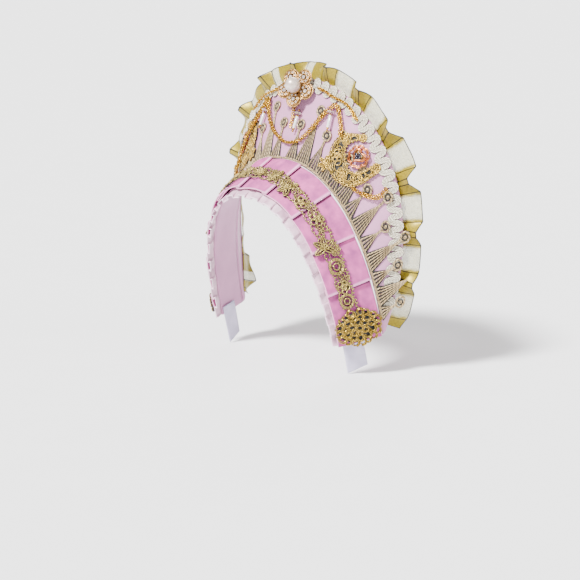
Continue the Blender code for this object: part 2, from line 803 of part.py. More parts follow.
def make_chains():
    """Fine chains in swags: each stop is run and reach on the halo, and lift off it."""
    lace, gimp, plaque = CHAIN_OVER_LACE, CHAIN_OVER_GIMP, CHAIN_OVER_PLAQUE
    swag = (
        Stop(-0.0338, 0.0570, gimp),
        Stop(-0.0296, 0.0420, lace),
        Stop(-0.0224, 0.0298, lace),
        Stop(-0.0126, 0.0210, lace),
        Stop(0.0001, 0.0154, lace),
        Stop(0.0097, 0.0162, lace),
        Stop(0.0169, 0.0208, lace),
        Stop(0.0223, 0.0303, lace),
        Stop(0.0269, 0.0425, lace),
        Stop(0.0305, 0.0515, lace),
        Stop(0.0338, 0.0570, gimp),
    )
    fall = (
        Stop(0.0359, 0.0572, gimp),
        Stop(0.0383, 0.0530, lace),
        Stop(0.0418, 0.0480, lace),
        Stop(0.0447, 0.0440, lace),
        Stop(0.0466, 0.0400, plaque),
    )
    loop = (
        Stop(0.0772, 0.0185, plaque),
        Stop(0.0830, 0.0215, lace),
        Stop(0.0894, 0.0262, lace),
        Stop(0.0937, 0.0316, lace),
        Stop(0.0948, 0.0370, lace),
        Stop(0.0946, 0.0412, gimp),
    )
    rim = (
        Stop(0.0176, 0.0640, gimp),
        Stop(0.0243, 0.0628, gimp),
        Stop(0.0302, 0.0618, gimp),
        Stop(0.0358, 0.0622, gimp),
        Stop(0.0415, 0.0620, gimp),
        Stop(0.0466, 0.0600, gimp),
        Stop(0.0506, 0.0575, gimp),
    )
    add_chain("chain_swag", swag, 1, 2 * CHAIN_POINTS)
    for name, side in SIDES:
        add_chain("chain_fall_" + name, fall, side, CHAIN_POINTS // 2 + 1)
        add_chain("chain_loop_" + name, loop, side, CHAIN_POINTS)
        add_chain("chain_rim_" + name, rim, side, CHAIN_POINTS)


def add_chain(name, stops, side, count):
    """One strand, as a tube along its stops."""
    route = smooth_path(stops, count)
    points = [halo_point(rear_share(side * run), reach, lift) for run, reach, lift in route]
    add_tube(name, "gold", points, CHAIN_RADIUS)


def make_drops():
    """Small drops that hang plumb: a crystal cluster, a white bugle bead and an end cap, one solid each."""
    drops = (
        dict(name="drop_centre", run=0.0058, reach=0.0328, lift=0.0031),
        dict(name="drop_left", run=0.0348, reach=0.0435, lift=0.0040),
        dict(name="drop_right", run=-0.0372, reach=0.0405, lift=0.0031),
    )
    profile = (
        dict(radius=0.0004, height=-0.0090),
        dict(radius=0.0014, height=-0.0080),
        dict(radius=0.0010, height=-0.0070),
        dict(radius=BUGLE_RADIUS, height=-0.0060),
        dict(radius=BUGLE_RADIUS, height=0.0052),
        dict(radius=0.0017, height=0.0068),
        dict(radius=0.0022, height=0.0080),
        dict(radius=0.0005, height=0.0092),
        dict(radius=0.0004, height=0.0114),
    )
    rings = [Ring(even(row["radius"]), row["height"]) for row in profile]
    for drop in drops:
        frame = surface_frame(halo_point, rear_share(drop["run"]), drop["reach"], drop["lift"])
        up = frame.to_3x3().transposed() @ Vector((0, 0, 1))
        upright = frame @ Matrix.Rotation(atan2(-up.x, up.y), 4, "Z") @ Matrix.Rotation(-pi / 2, 4, "X")
        add_rings(drop["name"], "glass", 8, rings, upright)


def make_ties():
    """Flat satin ties, cut on a slant, fixed under the headband's ends."""
    for name, side in SIDES:
        share = rear_share(side * TIE_RUN)
        frame = surface_frame(band_point, share, TIE_ALONG, -HEADBAND_WALL - CLEARANCE - TIE_WALL)
        half = TIE_WIDTH / 2
        outline = [
            (-TIE_ROOT * side, -half),
            (TIE_LENGTH * side, -half),
            ((TIE_LENGTH - TIE_SLANT) * side, half),
            (-TIE_ROOT * side, half),
        ]

        def place(x, y):
            return frame @ Vector((x, y, 0))

        add_cut_sheet("tie_" + name, "white_satin", outline, [], place, TIE_WALL)


def main():
    """Build the hood."""
    for item in list(bpy.data.objects):
        bpy.data.objects.remove(item)
    hood = bpy.data.collections.new("french_hood")
    bpy.context.scene.collection.children.link(hood)
    make_headband()
    make_halo_board()
    make_pleated_ribbon()
    make_under_frill()
    make_gold_ruffle()
    make_gimp_braid()
    make_ray_lace()
    make_flower_braid()
    make_plaques()
    make_medallions()
    make_brooch()
    make_rosettes()
    make_chains()
    make_drops()
    make_ties()


main()
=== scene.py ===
"""French hood, dressed: pleated velvet band, satin crescent, gold ruffle, thread lace, chains and brooch.

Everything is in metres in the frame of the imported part: the front faces -Y, the left side as worn is +X
and +Z is up. A run is a distance from the crown along the band's rear edge, where the crescent stands.
"""

from __future__ import annotations

import logging
import math
from collections.abc import Callable
from dataclasses import dataclass, field
from enum import Enum

import bpy
import numpy as np
from mathutils import Matrix, Vector

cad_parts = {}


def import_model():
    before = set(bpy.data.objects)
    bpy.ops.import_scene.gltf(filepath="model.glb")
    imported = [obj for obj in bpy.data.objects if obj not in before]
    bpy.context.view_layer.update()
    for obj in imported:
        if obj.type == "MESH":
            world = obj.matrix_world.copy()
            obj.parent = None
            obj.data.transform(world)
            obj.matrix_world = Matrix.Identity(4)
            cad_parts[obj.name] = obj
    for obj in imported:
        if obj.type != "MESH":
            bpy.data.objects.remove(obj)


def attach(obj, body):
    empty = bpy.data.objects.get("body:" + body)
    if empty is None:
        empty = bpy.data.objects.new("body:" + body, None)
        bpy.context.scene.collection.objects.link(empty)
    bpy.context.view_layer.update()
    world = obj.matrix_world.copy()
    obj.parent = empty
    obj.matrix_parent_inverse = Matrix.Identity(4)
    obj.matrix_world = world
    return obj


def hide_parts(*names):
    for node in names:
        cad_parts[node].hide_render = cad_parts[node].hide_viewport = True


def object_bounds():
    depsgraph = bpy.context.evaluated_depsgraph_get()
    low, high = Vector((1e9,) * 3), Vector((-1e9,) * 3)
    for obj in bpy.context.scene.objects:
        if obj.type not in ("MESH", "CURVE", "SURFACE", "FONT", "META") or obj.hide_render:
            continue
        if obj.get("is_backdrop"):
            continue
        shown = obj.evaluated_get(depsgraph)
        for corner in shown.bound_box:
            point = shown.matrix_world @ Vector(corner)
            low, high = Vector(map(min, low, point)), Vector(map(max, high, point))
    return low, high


Array = np.ndarray
Item = bpy.types.Object
Material = bpy.types.Material
NodeTree = bpy.types.NodeTree
Socket = bpy.types.NodeSocket
Rows = tuple[tuple[float, ...], ...]
LOG = logging.getLogger("french_hood")
MM = 0.001
TURN = 2 * math.pi
ROOT = "root"
BOTH_SIDES = (("left", 1), ("right", -1))


# Measures and small helpers


def stacked(*parts: Array | float) -> Array:
    """Arrays of one shape, or that broadcast to one, side by side on a last axis."""
    return np.stack(np.broadcast_arrays(*parts), axis=-1)


def running(steps: Array) -> Array:
    """Running sum of steps, from zero."""
    return np.concatenate(([0.0], np.cumsum(steps)))


def way_along(line: Array) -> Array:
    """Distance of each point of a line from its first."""
    return running(np.linalg.norm(np.diff(line, axis=0), axis=1))


def unit(vectors: Array) -> Array:
    """Scale vectors to length one."""
    return vectors / np.maximum(np.linalg.norm(vectors, axis=-1, keepdims=True), 1e-12)


def linear(code: str) -> tuple[float, float, float, float]:
    """Turn an sRGB hex colour into linear RGBA.

    Args:
        code: Six hex digits, with or without a leading hash.

    Returns:
        Linear red, green and blue, and an alpha of one.
    """
    digits = code.lstrip("#")
    parts = [int(digits[k : k + 2], 16) / 255 for k in (0, 2, 4)]
    return (*(p / 12.92 if p <= 0.04045 else ((p + 0.055) / 1.055) ** 2.4 for p in parts), 1.0)


def ease(value: Array | float, low: float, high: float) -> Array:
    """Rise smoothly from 0 at low to 1 at high."""
    part = np.clip((np.asarray(value, float) - low) / (high - low), 0, 1)
    return part * part * (3 - 2 * part)


def smooth_path(stops: Rows, count: int) -> Array:
    """Spread points evenly on a smooth curve through stops.

    Args:
        stops: Rows of numbers, the first two of which give the place.
        count: How many points to return.

    Returns:
        An array of count rows with the columns of stops.
    """
    table = np.array(stops, float)
    padded = np.vstack((2 * table[0] - table[1], table, 2 * table[-1] - table[-2]))
    dense = []
    for k in range(len(table) - 1):
        a, b, c, d = padded[k : k + 4]
        for t in np.linspace(0, 1, 16, endpoint=k == len(table) - 2):
            cubic = (2 * a - 5 * b + 4 * c - d) * t**2 + (3 * b - a - 3 * c + d) * t**3
            dense.append(0.5 * (2 * b + (c - a) * t + cubic))
    line = np.array(dense)
    runs = way_along(line[:, :2])
    places = np.linspace(0, runs[-1], count)
    return np.column_stack([np.interp(places, runs, line[:, k]) for k in range(line.shape[1])])


# The hood's form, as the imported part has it


@dataclass(frozen=True)
class Arch:
    """A leaning arch from foot to foot, a superellipse with a roundness."""

    half_width: float
    height: float
    roundness: float
    lean: float
    foot_y: float
    foot_z: float

    def __call__(self, share: Array) -> Array:
        """Points of the arch: share is -1 at the right foot, 0 at the crown and 1 at the left foot."""
        angle = share * math.pi / 2
        across = np.sign(share) * self.half_width * np.abs(np.sin(angle)) ** self.roundness
        up = self.height * np.abs(np.cos(angle)) ** self.roundness
        return stacked(across, self.foot_y - math.tan(self.lean) * up, self.foot_z + up)


@dataclass
class HoodForm:
    """The band's surface between two arches, and the crescent's from the rear arch to the rim."""

    front: Arch = Arch(0.0798, 0.12, 0.86, math.radians(12.9), 0.0087, -0.1296)
    rear: Arch = Arch(0.0938, 0.1351, 0.88, math.radians(12.0), 0.0452, -0.1221)
    rim_radius: float = 0.108
    rim_centre_z: float = -0.0279
    rim_lean: float = math.radians(6.7)
    rim_plane_y: float = 0.0528
    rim_sweep: float = math.radians(125)
    rim_foot_gap: tuple[float, float, float] = (0.002, 0.003, 0.006)
    rim_foot_blend: int = 5
    share_step: float = 0.002
    shares: Array = field(default_factory=lambda: np.linspace(-1, 1, 1601))

    def __post_init__(self) -> None:
        """Measure the runs along the rear edge and the rim."""
        self.rear_runs = self.measure(self.rear)
        self.rim_runs = self.measure(self.rim)

    def measure(self, edge: Callable[[Array], Array]) -> Array:
        """Distances along an edge from the crown, one for each share."""
        runs = way_along(edge(self.shares))
        return runs - runs[len(runs) // 2]

    def circle(self, swing: Array) -> Array:
        """Points of the rim's leaning circle at angles from its top."""
        height = self.rim_centre_z + self.rim_radius * np.cos(swing)
        lean = self.rim_plane_y - math.tan(self.rim_lean) * height
        return stacked(self.rim_radius * np.sin(swing), lean, height)

    def rim(self, share: Array) -> Array:
        """Points of the rim, which leaves its circle near the feet."""
        side = np.where(share < 0, -1.0, 1.0)
        x, y, z = self.rim_foot_gap
        gap = stacked(side * x, y, z)
        drift = self.rear(side) + gap - self.circle(side * self.rim_sweep)
        return self.circle(share * self.rim_sweep) + drift * (np.abs(share) ** self.rim_foot_blend)[..., None]

    def rear_share(self, run: Array | float) -> Array:
        """Shares of the rear edge at runs from the crown."""
        return np.interp(run, self.rear_runs, self.shares)

    def rim_share(self, run: Array | float) -> Array:
        """Shares of the rim at distances along it from the crown."""
        return np.interp(run, self.rim_runs, self.shares)

    def ruled(self, low: Callable, high: Callable, share: Array, out: Array, lift: Array) -> Array:
        """Points on the surface ruled from one edge to another.

        Args:
            low: The edge that out is measured from.
            high: The edge that the rulings run to.
            share: Where on the edges, from -1 to 1.
            out: Distance from the low edge along the ruling, in metres.
            lift: Height off the surface, in metres.

        Returns:
            Points, with the shape of the arguments and a last axis of three.
        """
        share, out, lift = np.broadcast_arrays(*(np.asarray(v, float) for v in (share, out, lift)))
        foot, top = low(share), high(share)
        length = np.linalg.norm(top - foot, axis=-1, keepdims=True)
        ruling = (top - foot) / length
        fraction = out[..., None] / length
        ahead, behind = np.minimum(share + self.share_step, 1), np.maximum(share - self.share_step, -1)
        tangent = low(ahead) * (1 - fraction) + high(ahead) * fraction
        tangent = tangent - low(behind) * (1 - fraction) - high(behind) * fraction
        normal = unit(np.cross(tangent, ruling))
        return foot + ruling * out[..., None] + normal * lift[..., None]

    def band(self, run: Array, along: Array, lift: Array = 0.0) -> Array:
        """Points over the band: along from its front edge, lift off its upper face."""
        return self.ruled(self.front, self.rear, self.rear_share(run), along, lift)

    def halo(self, run: Array, out: Array, lift: Array = 0.0) -> Array:
        """Points over the crescent: out from its foot, lift off its front face."""
        return self.ruled(self.rear, self.rim, self.rear_share(run), out, lift)

    def band_width(self, run: Array) -> Array:
        """Width of the band at runs."""
        share = self.rear_share(run)
        return np.linalg.norm(self.rear(share) - self.front(share), axis=-1)

    def halo_breadth(self, run: Array) -> Array:
        """Breadth of the crescent at runs, from its foot to the rim."""
        share = self.rear_share(run)
        return np.linalg.norm(self.rim(share) - self.rear(share), axis=-1)

    def off(self, surface: Callable, run: Array, out: Array) -> Array:
        """Directions straight off a surface."""
        return unit(surface(run, out, MM) - surface(run, out, 0.0))

    def axes(self, surface: Callable, run: float, out: float, lift: float) -> Matrix:
        """Axes on a surface: x along it to the left, y outwards and z off it, with the place as origin."""
        step = 0.5 * MM
        x = Vector(surface(run + step, out, lift) - surface(run - step, out, lift)).normalized()
        ruling = Vector(surface(run, out + step, lift) - surface(run, out - step, lift))
        z = x.cross(ruling).normalized()
        axes = Matrix((x, z.cross(x), z)).transposed().to_4x4()
        axes.translation = Vector(surface(run, out, lift))
        return axes

    def chart(self, surface: Callable, run: float, out: float, flat: Array, lift: Array | float) -> Array:
        """Lay flat points on a surface round an anchor, as seen straight on.

        Args:
            surface: The band's or the crescent's surface.
            run: The anchor's run.
            out: The anchor's distance from the surface's low edge.
            flat: Points as rows of x to the left and y outwards, in metres.
            lift: Height off the surface.

        Returns:
            The points in space.
        """
        level = np.array(self.axes(surface, run, out, 0.0).inverted())
        goal = np.asarray(flat, float)[..., :2]
        guess = np.array([run, out]) + goal
        step = 0.5 * MM

        def seen(place: Array) -> Array:
            points = surface(place[..., 0], place[..., 1], 0.0)
            return (points @ level[:3, :3].T + level[:3, 3])[..., :2]

        for _ in range(5):
            here = seen(guess)
            slopes = np.stack([(seen(guess + nudge) - here) / step for nudge in step * np.eye(2)], axis=-1)
            guess = guess + np.linalg.solve(slopes, (goal - here)[..., None])[..., 0]
        return surface(guess[..., 0], guess[..., 1], lift)

    def rim_axes(self, share: Array) -> tuple[Array, Array, Array]:
        """Place, outward direction and direction off the crescent, at shares of the rim."""
        run = np.interp(share, self.shares, self.rear_runs)
        breadth = self.halo_breadth(run)
        place = self.halo(run, breadth, 0.0)
        off = self.off(self.halo, run, breadth)
        ahead, behind = np.minimum(share + self.share_step, 1), np.maximum(share - self.share_step, -1)
        along = unit(self.rim(ahead) - self.rim(behind))
        return place, unit(np.cross(off, along)), off

    def about_rim(self, run: Array, out: Array, lift: Array) -> Array:
        """Points by the rim: run along the rim itself, out square from it (negative is inwards)."""
        run, out, lift = np.broadcast_arrays(*(np.asarray(v, float) for v in (run, out, lift)))
        place, outward, off = self.rim_axes(self.rim_share(run))
        return place + outward * out[..., None] + off * lift[..., None]


FORM = HoodForm()


# Nodes, meshes and cords

# What the word after the colon sets on a kind of node; on the others it is the data type
WORDS = {
    "Attribute": "attribute_name",
    "Math": "operation",
    "UVMap": "uv_map",
    "VectorMath": "operation",
    "GeometryNodeResampleCurve": "mode",
    "FunctionNodeRotateRotation": "rotation_space",
}


@dataclass
class Graph:
    """A node tree and the one way in which nodes are added to it."""

    tree: NodeTree

    def plug(self, node: bpy.types.Node, *values: object, **inputs: object) -> None:
        """Give a node's inputs values or other nodes' outputs, in their order or by name."""
        free = [socket for socket in node.inputs if socket.enabled]
        named = {socket.name.lower().replace(" ", "_"): socket for socket in reversed(free)}
        for socket, value in [*zip(free, values), *((named[key], value) for key, value in inputs.items())]:
            if isinstance(value, Socket):
                self.tree.links.new(value, socket)
            else:
                socket.default_value = value

    def add(self, kind: str, *values: object, pick: int | str = 0, **inputs: object) -> Socket:
        """Add a node with its settings and links.

        Args:
            kind: The node's type and, after a colon, its main setting; an exclamation mark clamps its result.
            *values: Values or other nodes' outputs for its first inputs.
            pick: The place or name of the output that is wanted.
            **inputs: The same for inputs by their names, in lower case with underscores.

        Returns:
            The output.
        """
        kind, _, word = kind.partition(":")
        node = self.tree.nodes.new(kind if "Node" in kind else "ShaderNode" + kind)
        if word:
            setattr(node, WORDS.get(kind, "data_type"), word.rstrip("!"))
        if word.endswith("!"):
            node.use_clamp = True
        self.plug(node, *values, **inputs)
        return node.outputs[pick] if isinstance(pick, str) else [s for s in node.outputs if s.enabled][pick]


def new_tree(name: str, sizes: dict[str, str]) -> tuple[Graph, bpy.types.Node]:
    """Start a Geometry Nodes tree.

    Args:
        name: The tree's name.
        sizes: Each named input and the kind of its socket, without its prefix.

    Returns:
        The tree and the node that gives its inputs.
    """
    tree = bpy.data.node_groups.new(name, "GeometryNodeTree")
    for label, kind in {"Geometry": "Geometry", **sizes}.items():
        tree.interface.new_socket(name=label, in_out="INPUT", socket_type="NodeSocket" + kind)
    tree.interface.new_socket(name="Geometry", in_out="OUTPUT", socket_type="NodeSocketGeometry")
    return Graph(tree), tree.nodes.new("NodeGroupInput")


def close_tree(graph: Graph, geometry: Socket, material: Socket) -> NodeTree:
    """End a tree in Realize Instances and Set Material."""
    real = graph.add("GeometryNodeRealizeInstances", geometry)
    dressed = graph.add("GeometryNodeSetMaterial", geometry=real, material=material)
    graph.plug(graph.tree.nodes.new("NodeGroupOutput"), dressed)
    return graph.tree


def cord_tree() -> NodeTree:
    """Tree that makes round cords of lines, with the length along and the way round kept for the material."""
    graph, given = new_tree("cord_along_line", {"Radius": "Float", "Sides": "Int", "Material": "Material"})
    add = graph.add
    curve = add("GeometryNodeMeshToCurve", given.outputs["Geometry"])
    length = add("GeometryNodeSplineParameter", pick="Length")
    kept = add("GeometryNodeStoreNamedAttribute:FLOAT", geometry=curve, name="along", value=length)
    ring = add("GeometryNodeCurvePrimitiveCircle", resolution=given.outputs["Sides"], radius=given.outputs["Radius"])
    way = add("VectorMath:NORMALIZE", add("GeometryNodeInputPosition"))
    profile = add("GeometryNodeStoreNamedAttribute:FLOAT_VECTOR", geometry=ring, name="around", value=way)
    girth = add("GeometryNodeInputNamedAttribute:FLOAT", name="girth")
    tube = add("GeometryNodeCurveToMesh", curve=kept, profile_curve=profile, scale=girth, fill_caps=True)
    smooth = add("GeometryNodeSetShadeSmooth", tube)
    return close_tree(graph, smooth, given.outputs["Material"])


def repeat_tree() -> NodeTree:
    """Tree that sets a motif at even steps along a line, turned with it and rolled in turn."""
    sizes = {"Motif": "Object", "Spacing": "Float", "First roll": "Float", "Roll in turn": "Float"}
    graph, given = new_tree("motif_along_line", {**sizes, "Wander": "Float", "Material": "Material"})
    add = graph.add
    curve = add("GeometryNodeMeshToCurve", given.outputs["Geometry"])
    stops = add("GeometryNodeResampleCurve:LENGTH", curve=curve, length=given.outputs["Spacing"])
    off = add("GeometryNodeInputNamedAttribute:FLOAT_VECTOR", name="off")
    tangent = add("GeometryNodeInputTangent")
    facing = add("FunctionNodeAxesToRotation", primary_axis=tangent, secondary_axis=off)
    facing.node.primary_axis, facing.node.secondary_axis = "X", "Z"
    odd = add("Math:FLOORED_MODULO", add("GeometryNodeInputIndex"), 2.0)
    turned = add("Math:MULTIPLY_ADD", odd, given.outputs["Roll in turn"], given.outputs["First roll"])
    chance = add("FunctionNodeRandomValue:FLOAT", min=-1.0, max=1.0, seed=7)
    loose = add("Math:MULTIPLY_ADD", chance, given.outputs["Wander"], turned)
    roll = add("FunctionNodeEulerToRotation", add("CombineXYZ", loose))
    aim = add("FunctionNodeRotateRotation:LOCAL", rotation=facing, rotate_by=roll)
    motif = add("GeometryNodeObjectInfo", given.outputs["Motif"], pick="Geometry")
    copies = add("GeometryNodeInstanceOnPoints", points=stops, instance=motif, rotation=aim)
    return close_tree(graph, copies, given.outputs["Material"])


def link(item: Item) -> Item:
    """Put an object in the scene."""
    bpy.context.scene.collection.objects.link(item)
    return item


def baked(item: Item) -> Item:
    """Turn what an object's modifiers give into its plain mesh, and remove them."""
    bpy.context.view_layer.update()
    graph = bpy.context.evaluated_depsgraph_get()
    mesh = bpy.data.meshes.new_from_object(item.evaluated_get(graph), depsgraph=graph)
    item.modifiers.clear()
    old = item.data
    item.data = mesh
    mesh.name = item.name
    bpy.data.meshes.remove(old)
    return item


def with_nodes(item: Item, tree: NodeTree, sizes: dict[str, object]) -> Item:
    """Run a tree on an object and keep the result as a plain mesh.

    Args:
        item: The object whose mesh goes in.
        tree: The tree.
        sizes: A value for each of the tree's named inputs.

    Returns:
        The same object with the finished mesh.
    """
    step = item.modifiers.new(tree.name, "NODES")
    step.node_group = tree
    for socket in tree.interface.items_tree:
        if socket.in_out == "INPUT" and socket.name in sizes:
            step[socket.identifier] = sizes[socket.name]
    return baked(item)


def mesh_object(
    name: str,
    points: Array,
    faces: Array | list,
    finish: Material | None = None,
    values: dict[str, Array] | None = None,
    cloth: Array | None = None,
) -> Item:
    """Make an object of points and faces.

    Args:
        name: The object's name.
        points: Rows of three.
        faces: Rows of corner numbers, all of one length or not.
        finish: The material.
        values: Numbers for each point, kept as attributes, one or three columns each.
        cloth: Flat places of the points in metres, kept as the UV map of the cloth.

    Returns:
        The object, in the scene.
    """
    mesh = bpy.data.meshes.new(name)
    mesh.from_pydata(np.asarray(points).tolist(), [], faces.tolist() if isinstance(faces, np.ndarray) else faces)
    for label, column in (values or {}).items():
        column = np.asarray(column, np.float32)
        kind, key = ("FLOAT", "value") if column.ndim == 1 else ("FLOAT_VECTOR", "vector")
        mesh.attributes.new(label, kind, "POINT").data.foreach_set(key, column.ravel())
    if cloth is not None:
        corners = np.empty(len(mesh.loops), np.int32)
        mesh.loops.foreach_get("vertex_index", corners)
        mesh.uv_layers.new(name="cloth").data.foreach_set("uv", np.asarray(cloth, np.float32)[corners].ravel())
    mesh.shade_smooth()
    if finish:
        mesh.materials.append(finish)
    return link(bpy.data.objects.new(name, mesh))


def grid_faces(columns: int, rows: int, closed: bool = False) -> Array:
    """Corner numbers of a grid's quads, columns first, closed across its rows if asked."""
    i, j = np.meshgrid(np.arange(columns - 1), np.arange(rows if closed else rows - 1), indexing="ij")
    i, j = i.ravel(), j.ravel()
    k = (j + 1) % rows
    return np.stack([i * rows + j, (i + 1) * rows + j, (i + 1) * rows + k, i * rows + k], axis=1)


@dataclass
class Cord:
    """One line of cord: its points, whether it is a loop, and its girth against the others."""

    points: Array
    closed: bool = False
    girth: float | Array = 1.0


def backing(cords: list[Cord], deeper: list[Array], girth: float) -> list[Cord]:
    """Thicker copies of cords on lines that lie a little deeper, for a near-black finish that paints shade round the
    cords.
    """
    return [Cord(points, cord.closed, cord.girth * girth) for cord, points in zip(cords, deeper, strict=True)]


def line_mesh(name: str, cords: list[Cord], off: Array | None = None) -> Item:
    """Make an object of edges alone, one chain of them for each cord, with directions off the surface."""
    points, edges, girths = [], [], []
    for cord in cords:
        first, count = len(points), len(cord.points)
        points += cord.points.tolist()
        girths += np.broadcast_to(cord.girth, count).tolist()
        edges += [(first + k, first + k + 1) for k in range(count - 1)]
        if cord.closed:
            edges.append((first + count - 1, first))
    mesh = bpy.data.meshes.new(name)
    mesh.from_pydata(points, edges, [])
    mesh.attributes.new("girth", "FLOAT", "POINT").data.foreach_set("value", girths)
    if off is not None:
        spots = mesh.attributes.new("off", "FLOAT_VECTOR", "POINT")
        spots.data.foreach_set("vector", off.astype(np.float32).ravel())
    return link(bpy.data.objects.new(name, mesh))


class Workroom:
    """Holds the two trees and what every sub-assembly is handed over with."""

    def __init__(self) -> None:
        """Build the trees once."""
        self.cord_nodes = cord_tree()
        self.repeat_nodes = repeat_tree()

    def cords(self, name: str, cords: list[Cord], radius: float, finish: Finish, sides: int = 6) -> Item:
        """Make round cords along lines, as one mesh.

        Args:
            name: The piece's name.
            cords: The lines.
            radius: The cords' radius where girth is one.
            finish: Their finish.
            sides: Faces round each cord.

        Returns:
            The finished object.
        """
        item = line_mesh(name, cords)
        return with_nodes(item, self.cord_nodes, {"Radius": radius, "Sides": sides, "Material": finish.material})

    def repeated(
        self,
        name: str,
        motif: Item,
        paths: list[Cord],
        off: Array,
        spacing: float,
        finish: Finish,
        rolls: tuple[float, float, float] = (0, 0, 0),
    ) -> Item:
        """Set a motif at even steps along a line, as one mesh, and put the motif away.

        Args:
            name: The piece's name.
            motif: The object that is repeated, along its own X with Z off the surface.
            paths: The lines.
            off: The direction off the surface at each of their points.
            spacing: The step.
            finish: The copies' finish.
            rolls: Degrees that each copy is rolled about the line, each second one more, and by chance.

        Returns:
            The finished object.
        """
        item = line_mesh(name, paths, off)
        sizes = {"Motif": motif, "Spacing": spacing, "Material": finish.material}
        sizes.update(zip(("First roll", "Roll in turn", "Wander"), map(math.radians, rolls), strict=True))
        with_nodes(item, self.repeat_nodes, sizes)
        bpy.data.objects.remove(motif)
        return item


def joined(name: str, items: list[Item]) -> Item:
    """Join objects into the first, under a name."""
    first = items[0]
    with bpy.context.temp_override(
        active_object=first, object=first, selected_editable_objects=items, selected_objects=items
    ):
        bpy.ops.object.join()
    first.name = name
    first.data.name = name
    return first


def hand_over(item: Item, slot: str, *nodes: str) -> Item:
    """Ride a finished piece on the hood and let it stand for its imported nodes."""
    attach(item, ROOT)
    if nodes:
        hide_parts(*nodes)
    LOG.info("%s: %d triangles", item.name, sum(len(p.vertices) - 2 for p in item.data.polygons))
    return item


# Finishes


def new_finish(name: str, **shader: object) -> tuple[Graph, bpy.types.Node]:
    """Start a material and set its shader's own sockets.

    Args:
        name: The material's name.
        **shader: Values for the shader's inputs, in lower case with underscores.

    Returns:
        The node tree and its Principled shader.
    """
    made = bpy.data.materials.new(name)
    made.use_nodes = True
    graph = Graph(made.node_tree)
    bsdf = made.node_tree.nodes["Principled BSDF"]
    graph.plug(bsdf, **shader)
    return graph, bsdf


@dataclass(frozen=True)
class ClothFinish:
    """A woven cloth on its own UV map, in metres: u along the piece and v across it."""

    name: str
    colour: str
    shade: str
    float_mm: float
    thread_mm: float
    roughness: float
    sheen: float
    relief_mm: float
    mottle_mm: float = 9.0
    edge_colour: str = ""
    edge_mm: float = 0.0
    # Painted highlight along the folds' crests and painted shadow just past them: the colour and reach of each
    crease_colour: str = ""
    crease_mm: float = 1.6
    shadow_colour: str = ""
    shadow_mm: float = 0.9
    anisotropy: float = 0.0

    def build(self) -> Material:
        """Make the material."""
        graph, bsdf = new_finish(
            self.name,
            roughness=self.roughness,
            sheen_weight=self.sheen,
            sheen_roughness=0.35,
            sheen_tint=linear(self.colour),
            anisotropic=self.anisotropy,
        )
        add = graph.add
        steps = (1 / (self.float_mm * MM), 1 / (self.thread_mm * MM), 1.0)
        place = add("VectorMath:MULTIPLY", add("UVMap:cloth"), steps)
        threads = add("TexNoise", vector=place, scale=1.0, detail=2.0, roughness=0.6)
        body = add("TexCoord", pick="Object")
        mottle = add("TexNoise", vector=body, scale=1 / (self.mottle_mm * MM), detail=2.0)
        depth = add("Math:MULTIPLY_ADD!", mottle, 1.7, -0.3)
        colour = add("Mix:RGBA", depth, linear(self.shade), linear(self.colour))
        grain = add("Math:MULTIPLY_ADD!", threads, 0.5, 0.72)
        colour = add("Mix:RGBA", grain, linear(self.shade), colour)
        # Painted highlight by each fold's crest and painted shadow just past each fold
        for mark, tint, reach_mm, fade, amount in (
            ("crease", self.crease_colour, self.crease_mm, "MULTIPLY", 0.75),
            ("shadow", self.shadow_colour, self.shadow_mm, "POWER", 0.5),
        ):
            if tint:
                apart = add("Math:DIVIDE", add("Attribute:" + mark, pick="Fac"), reach_mm * MM)
                near = add("Math:" + fade, add("Math:SUBTRACT!", 1.0, apart), amount)
                colour = add("Mix:RGBA", near, colour, linear(tint))
        if self.edge_colour:
            near, far = add("SeparateXYZ", add("Attribute:edges", pick="Vector")).node.outputs[:2]
            stripe = add("Math:LESS_THAN", add("Math:MINIMUM", near, far), self.edge_mm * MM)
            colour = add("Mix:RGBA", stripe, colour, linear(self.edge_colour))
        relief = add("Bump", strength=0.6, distance=self.relief_mm * MM, height=threads)
        graph.plug(bsdf, base_color=colour, normal=relief)
        return bpy.data.materials[self.name]


